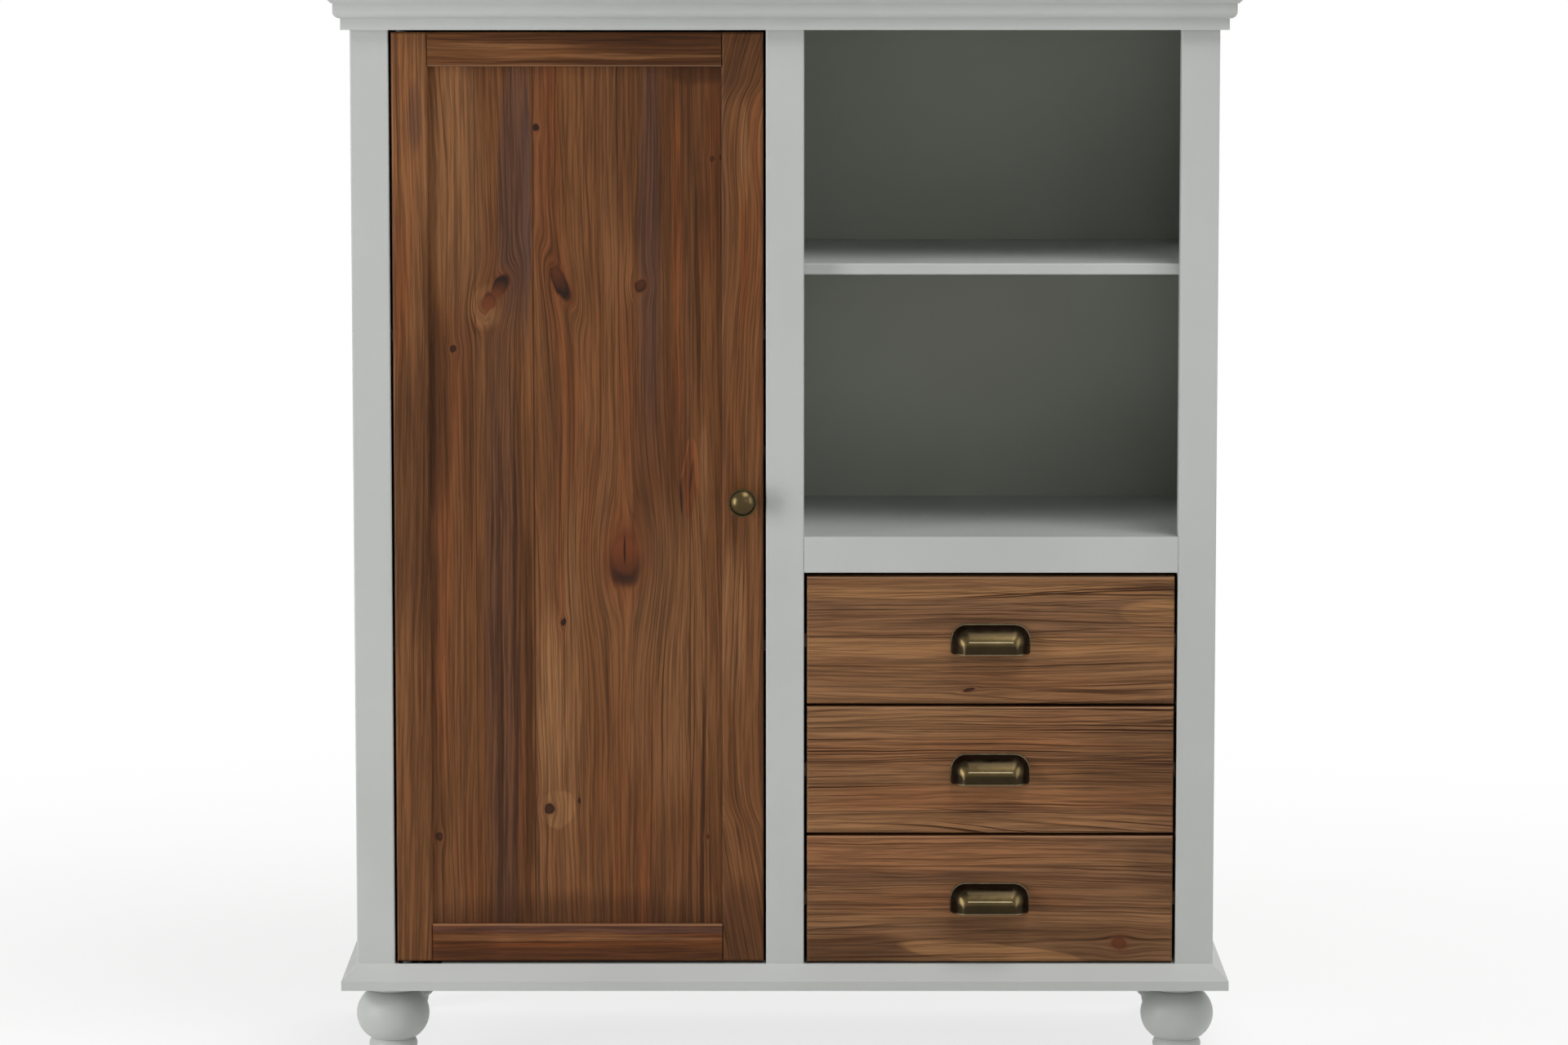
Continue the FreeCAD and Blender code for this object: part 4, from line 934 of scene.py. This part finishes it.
def plain_board(name, order, light, dark, ring, seed):
    """Bare wood with the same figure as the stained boards."""
    material, tree, shader, place = new_material(name)
    feeds = {
        "Vector": grain_frame(tree, place, order),
        "Seed": seed,
        "Tone": BARE_TONE,
        "Ring Width": ring * MM,
        "Light": light,
        "Dark": dark,
        "Grey": dark,
        "Warm": light,
    }
    figure = use_group(tree, pine_figure, feeds)
    finish = use_group(tree, stain, figure | {"Line Color": dark, "Fibre Depth": BARE_FIBRE})
    dress(tree, shader, finish, BARE_SHEEN)
    return material


def even_finish(name, tint, deeper, roughness, metallic=0.0):
    """A plain material with a slight drift of its tint."""
    material, tree, shader, place = new_material(name)
    drift = stretched_noise(tree, place, EVEN_WAVES, 3)
    tree.links.new(mix(tree, drift, tint, deeper), shader["Base Color"])
    rougher = step(tree, drift, *EVEN_RANGE, roughness, roughness + ROUGHNESS_DRIFT)
    tree.links.new(rougher, shader["Roughness"])
    shader["Metallic"].default_value = metallic
    return material


side_pine = plain_board("plain_pine_sides", ALONG_Y, colour(212, 180, 136), colour(184, 145, 97), 8, 2.2)
back_pine = plain_board("plain_pine_backs", ALONG_X, colour(210, 178, 134), colour(182, 143, 95), 8, 4.7)
beech = plain_board("beech", ALONG_Y, colour(200, 164, 126), colour(180, 140, 102), 3, 6.1)
hardboard = even_finish("hardboard", colour(160, 128, 95), colour(134, 104, 74), 0.7)
steel = even_finish("zinc_steel", colour(198, 198, 196), colour(180, 181, 180), 0.32, 1.0)
nylon = even_finish("white_nylon", colour(231, 230, 224), colour(224, 222, 214), 0.4)
dark_steel = even_finish("dark_steel", colour(70, 70, 71), colour(58, 58, 60), 0.5, 1.0)
plastic = even_finish("brown_plastic", colour(84, 62, 46), colour(76, 55, 40), 0.45)
for level in LEVELS:
    wear(side_pine, f"drawer_{level}_side_left", f"drawer_{level}_side_right")
    wear(back_pine, f"drawer_{level}_back")
    wear(hardboard, f"drawer_{level}_bottom")
    wear(steel, f"drawer_{level}_pull_screws")
wear(beech, "drawer_runners", "carcass_dowels")
wear(steel, "foot_bolts", "shelf_pins", "carcass_screws", "knob_screw", "catch_plate")
wear(dark_steel, "pivot_plates")
wear(nylon, "pivot_bushes")
wear(plastic, "door_catch")
print("inner finishes:", side_pine.name, beech.name, hardboard.name, steel.name, nylon.name, plastic.name)

# %% [markdown]
# ## Antique brass
# The knob and the cup pulls are cast brass with a dark patina. Hands rub it away where the metal stands
# out, so it goes from nearly black in the hollows to olive gold on the crests. On the pulls the gold band
# is also a painted reflection, and the bright sharp edges are painted highlights. The group takes how far
# a place is rubbed and breaks that up a little.

# %% Antique brass
PATINA = colour(40, 33, 23)
RUBBED = colour(94, 80, 52)
# Bright brass for the edges of the pulls: a polished edge and a painted highlight.
POLISHED_HIGHLIGHT = colour(190, 173, 138)
DOOR_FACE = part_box("door_knob_stile")[0].y
KNOB_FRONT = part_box("door_knob")[0].y
KNOB_RUB = (0.15, 0.55)
CLOUD_WAVES = (90, 90, 90)
CLOUD_REACH = 0.2
CLOUD_ROUGHNESS = (0.3, 0.7, 0.2, 0.3)


def build_brass_patina(tree, entry):
    """Rubbed brass over dark patina, a little cloudy."""
    cloud = stretched_noise(tree, entry["Vector"], CLOUD_WAVES, 3)
    uneven = calc(tree, "MULTIPLY_ADD", cloud, CLOUD_REACH, -CLOUD_REACH / 2)
    share = calc(tree, "ADD", entry["Rub"], uneven, clamp=True)
    return {
        "Color": mix(tree, share, PATINA, entry["Bright"]),
        "Roughness": step(tree, cloud, *CLOUD_ROUGHNESS),
    }


def brass(name):
    """A brass material, its tree, its coordinates and a way to say how far it is rubbed."""
    material, tree, shader, place = new_material(name)
    shader["Metallic"].default_value = 1.0

    def rubbed(rub, bright=RUBBED):
        feeds = {"Vector": place, "Rub": rub, "Bright": bright}
        dress(tree, shader, use_group(tree, brass_patina, feeds))

    return material, tree, place, rubbed


BRASS_INPUTS = {"Vector": (0, 0, 0), "Rub": 0.5, "Bright": RUBBED}
brass_patina = new_group("brass_patina", BRASS_INPUTS, build_brass_patina)
knob_brass, tree, place, rubbed = brass("antique_brass_knob")
rubbed(step(tree, coordinate(tree, place, "Y"), DOOR_FACE, KNOB_FRONT, *KNOB_RUB))
wear(knob_brass, "door_knob")
print(knob_brass.name)

# %% [markdown]
# On a cup pull the fingers polish the barrel halfway up, and that band is also a painted reflection
# of the softbox overhead; the dark patina left above and below it is partly painted shade. Each pull
# carries its own height as an attribute from 0 to 1, because the three hang at different levels. The
# edges have a brighter brass, a painted highlight: the line along the crest shines most, then the lip,
# and the rim only faintly, least of all at its ends.

# %% Brass of the cup pulls
PULL_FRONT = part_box("drawer_upper_pull")[0].y
# Between these depths the barrel gets rubbed and lit by a painted reflection, and the painted edge
# highlights begin.
BARREL_DEPTHS = (DOOR_FACE - 11 * MM, PULL_FRONT + 4 * MM)
EDGE_DEPTHS = (DOOR_FACE - 4 * MM, DOOR_FACE - 16 * MM)
# Soft steps over the height on the pull: the rubbed band that is also a painted reflection, and the
# painted highlights of the crest line and the rim.
CREST_RISE = (0.28, 0.42)
CREST_FALL = (0.56, 0.7, 1.0, 0.0)
LINE_HIGHLIGHT = (0.06, 0.12, 0.4, 0.95)
RIM_HIGHLIGHT = (0.2, 0.6, 0.05, 0.18)
# How far the barrel is rubbed, and how much more halfway up, where a painted reflection adds to it.
BARREL_RUB = 0.12
CREST_RUB_AND_REFLECTION = 0.5


def pull_masks(tree, place, depths):
    """How far forward a point of a pull lies, from 0 to 1 between two depths, and its height."""
    front = step(tree, coordinate(tree, place, "Y"), *depths)
    return front, put(tree, "Attribute", attribute_name="rise").outputs["Fac"]


pull_brass, tree, place, rubbed = brass("antique_brass_pull")
front, rise = pull_masks(tree, place, BARREL_DEPTHS)
# The band halfway up is rubbed brass and also a painted reflection of the overhead softbox.
crest = calc(tree, "MULTIPLY", step(tree, rise, *CREST_RISE), step(tree, rise, *CREST_FALL))
rub = calc(tree, "MULTIPLY_ADD", crest, CREST_RUB_AND_REFLECTION, BARREL_RUB)
rubbed(calc(tree, "MULTIPLY", rub, front))
# The edge brass paints highlights on the crest line, the lip and the rim.
edge_highlight_brass, tree, place, rubbed = brass("antique_brass_edge_highlight")
front, rise = pull_masks(tree, place, EDGE_DEPTHS)
line = calc(tree, "MULTIPLY", front, step(tree, rise, *LINE_HIGHLIGHT))
rubbed(calc(tree, "MAXIMUM", step(tree, rise, *RIM_HIGHLIGHT), line), POLISHED_HIGHLIGHT)
print(pull_brass.name, edge_highlight_brass.name)

# %% [markdown]
# ## Cup pulls
# A cup pull is cast in one piece: a flat rim against the drawer, a steep round shoulder, and a barrel
# behind which the fingers go. It starts as a flat plate with two round corners. Each ring is an inset
# that also comes forward and drops a little, so that the slope gathers at the top and the sides. One
# narrow ring is the line along the crest. Then the underside is cut away, the lower corners are eased,
# and the skin gets the thickness of the casting.

# %% Raising a cup pull
PULL_CORNER = 17 * MM
PULL_SEGMENTS = 12
PULL_RIM = 1.6 * MM
# Each ring's step inwards, forwards and down in millimetres, and how much it narrows.
PULL_RINGS = (
    (0.8, 0.0, 0.6, 1.0),
    (0.6, 4.0, 0.6, 0.985),
    (1.0, 4.0, 1.0, 0.975),
    (1.4, 3.6, 1.4, 0.97),
    (1.6, 2.8, 1.6, 0.97),
    (2.0, 2.4, 2.0, 0.98),
    (1.3, 1.4, 1.2, 0.99),
    (0.55, 0.3, 0.35, 1.0),
    (1.2, 0.75, 0.0, 1.0),
    (1.6, 0.45, -0.3, 1.0),
)


def pick(piece, kind, test):
    """Select the vertices or faces for which the test holds, and nothing else, in edit mode."""
    bpy.ops.object.mode_set(mode="EDIT")
    bpy.ops.mesh.select_mode(type=kind)
    bpy.ops.mesh.select_all(action="DESELECT")
    bpy.ops.object.mode_set(mode="OBJECT")
    parts = piece.data.vertices if kind == "VERT" else piece.data.polygons
    for part in parts:
        part.select = test(part)
    bpy.ops.object.mode_set(mode="EDIT")


def start_pull(name, low, high):
    """A flat plate at the drawer front, as large as the pull, with round upper corners."""
    centre = (low + high) / 2
    bpy.ops.object.select_all(action="DESELECT")
    bpy.ops.mesh.primitive_plane_add(size=1, rotation=(math.radians(90), 0, 0))
    pull = bpy.context.object
    pull.name = name
    bpy.ops.object.transform_apply(location=False, rotation=True, scale=False)
    bpy.ops.object.mode_set(mode="EDIT")
    bpy.ops.transform.resize(value=(high.x - low.x, 1, high.z - low.z))
    bpy.ops.transform.translate(value=(centre.x, high.y, centre.z))
    pick(pull, "VERT", lambda vertex: vertex.co.z > centre.z)
    corner = {"offset": PULL_CORNER, "offset_type": "ABSOLUTE", "segments": PULL_SEGMENTS}
    bpy.ops.mesh.bevel(affect="VERTICES", **corner)
    return pull, centre


def raise_pull(centre):
    """Draw the plate out into a cup, ring by ring."""
    bpy.ops.mesh.select_mode(type="FACE")
    bpy.ops.mesh.select_all(action="SELECT")
    bpy.ops.mesh.extrude_region_move(TRANSFORM_OT_translate={"value": (0, -PULL_RIM, 0)})
    for inwards, forwards, down, narrow in PULL_RINGS:
        bpy.ops.mesh.inset(thickness=inwards * MM, depth=forwards * MM)
        bpy.ops.transform.translate(value=(0, 0, -down * MM))
        bpy.ops.transform.resize(value=(narrow, 1, 1), center_override=centre)


print(len(PULL_RINGS), "rings in a cup pull")

# %% Opening and finishing a cup pull
# The lower corners are eased by cuts at these angles, each this far inside the square corner.
PULL_CUTS = ((30, 0.8), (60, 0.8))
# Faces of the underside point down by more than this, and a strip of the rim goes with them.
UNDERSIDE = -0.8
PULL_STRIP = 2 * MM
# Distances in front of the drawer: the ring along the crest, and where the lip begins.
PULL_CREST = 19.95 * MM
LIP_START = 8 * MM
# The lip's height, and how near to the rim or the crest ring a face lies that belongs to it.
PULL_LIP = 1.5 * MM
RIM_SLACK = 0.1 * MM
CREST_SLACK = 0.06 * MM
# Faces of the crest line look up by more than this, and sideways by less than that.
CREST_UP = 0.2
CREST_ASIDE = 0.1
PULL_WALL = 1.3 * MM
PULL_EASE = 0.3 * MM
EASE_ANGLE = math.radians(30)
SMOOTH_ANGLE = math.radians(40)


def open_pull(pull, low, high):
    """Cut away the underside and the lower strip of the rim, ease the corners and mark off the lip."""
    pick(pull, "FACE", lambda face: face.normal.z < UNDERSIDE)
    bpy.ops.mesh.delete(type="FACE")
    strip = low.z + PULL_STRIP
    pick(pull, "FACE", lambda face: face.center.z < strip and face.center.y > high.y - 2 * PULL_RIM)
    bpy.ops.mesh.delete(type="FACE")
    for side, corner in ((-1, low.x), (1, high.x)):
        for angle, inside in PULL_CUTS:
            outward = Vector((side * math.cos(math.radians(angle)), 0, -math.sin(math.radians(angle))))
            spot = Vector((corner, 0, low.z)) - outward * inside * MM
            bpy.ops.mesh.select_all(action="SELECT")
            bpy.ops.mesh.bisect(plane_co=spot, plane_no=outward, clear_outer=True)
    bpy.ops.mesh.select_all(action="SELECT")
    bpy.ops.mesh.bisect(plane_co=(0, 0, low.z + PULL_LIP), plane_no=(0, 0, 1))
    bpy.ops.object.mode_set(mode="OBJECT")


def paint_edge_highlights(pull, low, high):
    """Give the rim, the line along the crest and the lip the brighter brass of the painted highlights."""
    for face in pull.data.polygons:
        out = high.y - face.center.y
        rim = abs(out - PULL_RIM) < RIM_SLACK
        straight = face.normal.z > CREST_UP and abs(face.normal.x) < CREST_ASIDE
        crest = abs(out - PULL_CREST) < CREST_SLACK and straight
        lip = face.center.z < low.z + PULL_LIP and out > LIP_START
        face.material_index = int(rim or crest or lip)


def thicken_pull(pull):
    """Give the skin a thickness and soft edges."""
    wall = pull.modifiers.new("wall", "SOLIDIFY")
    wall.thickness = PULL_WALL
    wall.offset = -1
    wall.use_even_offset = True
    # The cut edge of the skin takes the brass of the painted highlights.
    wall.material_offset_rim = 1
    bpy.ops.object.modifier_apply(modifier=wall.name)
    soft = pull.modifiers.new("soft", "BEVEL")
    soft.width = PULL_EASE
    soft.segments = 2
    soft.limit_method = "ANGLE"
    soft.angle_limit = EASE_ANGLE
    bpy.ops.object.modifier_apply(modifier=soft.name)
    bpy.ops.object.shade_smooth_by_angle(angle=SMOOTH_ANGLE)


def store_rise(pull, low, high):
    """Store the height on the pull from 0 to 1, for the brass."""
    rise = pull.data.attributes.new("rise", "FLOAT", "POINT")
    for vertex, value in zip(pull.data.vertices, rise.data):
        value.value = (vertex.co.z - low.z) / (high.z - low.z)


print("a cup pull is cut", len(PULL_CUTS), "times at each corner")

# %% Three cup pulls
for level in LEVELS:
    low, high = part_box(f"drawer_{level}_pull")
    pull, centre = start_pull(f"cup_pull_{level}", low, high)
    pull.data.materials.append(pull_brass)
    pull.data.materials.append(edge_highlight_brass)
    raise_pull(centre)
    open_pull(pull, low, high)
    paint_edge_highlights(pull, low, high)
    thicken_pull(pull)
    store_rise(pull, low, high)
    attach(pull, f"drawer_{level}")
    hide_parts(f"drawer_{level}_pull")
    print(pull.name, len(pull.data.polygons), "faces", tuple(round(size, 4) for size in pull.dimensions))

# %% [markdown]
# ## Studio
# A pale floor carries the soft shadow of the cupboard and fades to white around it. A wide softbox hangs
# over the front, upright ones stand to the left and right, a weak one fills in from the front, and one
# behind lights the back. The world gives a little even light, and shows as plain white to the camera
# and in reflections.

# %% Floor
FLOOR_SIZE = 60
FLOOR_PALE = colour(245, 245, 244)
FLOOR_ROUGHNESS = 0.9
# Soft step over the metres from the middle: the share of plain white in what is seen of the floor.
FLOOR_GLOW = (0.5, 2.2, 0.75, 1.0)
WHITE = (1, 1, 1, 1)


def seen(tree):
    """1 for rays from the camera, straight or by way of a mirror or glass, and 0 for stray light."""
    rays = put(tree, "LightPath").outputs
    direct = calc(tree, "MAXIMUM", rays["Is Camera Ray"], rays["Is Glossy Ray"])
    return calc(tree, "MAXIMUM", direct, rays["Is Transmission Ray"])


bpy.ops.mesh.primitive_plane_add(size=FLOOR_SIZE)
floor = bpy.context.object
floor.name = "floor"
pale_floor, tree, shader, place = new_material("pale_floor")
shader["Base Color"].default_value = FLOOR_PALE
shader["Roughness"].default_value = FLOOR_ROUGHNESS
shader["Specular IOR Level"].default_value = 0.0
glow = put(tree, "Emission", {"Color": WHITE, "Strength": 1.0}).outputs[0]
lit = tree.nodes["Principled BSDF"].outputs[0]
reach = put(tree, "VectorMath", {0: place}, operation="LENGTH").outputs["Value"]
share = calc(tree, "MULTIPLY", seen(tree), step(tree, reach, *FLOOR_GLOW))
blend = put(tree, "MixShader", {0: share, 1: lit, 2: glow})
tree.links.new(blend.outputs[0], tree.nodes["Material Output"].inputs["Surface"])
floor.data.materials.append(pale_floor)
print(floor.name, "laid")

# %% World and lamps
scene = bpy.context.scene
AIM = Vector((0, 0, 0.6))
WORLD_LIGHT = 0.06


def softbox(name, place, width, height, power):
    """A rectangular lamp that looks at the middle of the cupboard."""
    lamp = bpy.data.lights.new(name, "AREA")
    lamp.shape = "RECTANGLE"
    lamp.size = width
    lamp.size_y = height
    lamp.energy = power
    holder = bpy.data.objects.new(name, lamp)
    holder.location = place
    holder.rotation_euler = (AIM - Vector(place)).to_track_quat("-Z", "Y").to_euler()
    scene.collection.objects.link(holder)


softbox("overhead", (1.2, -1.8, 4.2), 2.0, 2.0, 85)
softbox("left", (-2.6, -1.6, 0.9), 1.0, 1.8, 55)
softbox("right", (2.6, -1.6, 1.3), 1.0, 2.0, 20)
softbox("front", (2.2, -4.6, 2.0), 1.8, 1.8, 8)
softbox("behind", (0.6, 2.8, 2.6), 2.4, 2.0, 60)

world = bpy.data.worlds.new("studio")
scene.world = world
world.use_nodes = True
tree = world.node_tree
strength = calc(tree, "MULTIPLY_ADD", seen(tree), 1 - WORLD_LIGHT, WORLD_LIGHT)
background = tree.nodes["Background"].inputs
background["Color"].default_value = WHITE
tree.links.new(strength, background["Strength"])
scene.view_settings.view_transform = "Standard"
print("lamps and world set")

# %% [markdown]
# ## Camera
# The photograph was taken square on with a long lens at about chest height. The lens is shifted a
# little, as on a view camera, so that the case stands as it does there.

# %% Camera
SENSOR_WIDTH = 36
FOCAL_LENGTH = 129.5
LENS_SHIFT = -0.05
CAMERA_PLACE = (-0.001, -6.064, 1.3206)
CAMERA_DIP = 6.29

lens = bpy.data.cameras.new("camera")
lens.sensor_width = SENSOR_WIDTH
lens.lens = FOCAL_LENGTH
lens.shift_y = LENS_SHIFT
camera = bpy.data.objects.new("camera", lens)
camera.location = CAMERA_PLACE
camera.rotation_euler = (math.radians(90 - CAMERA_DIP), 0, 0)
scene.collection.objects.link(camera)
scene.camera = camera
print("camera", tuple(round(value, 3) for value in camera.location), lens.lens)
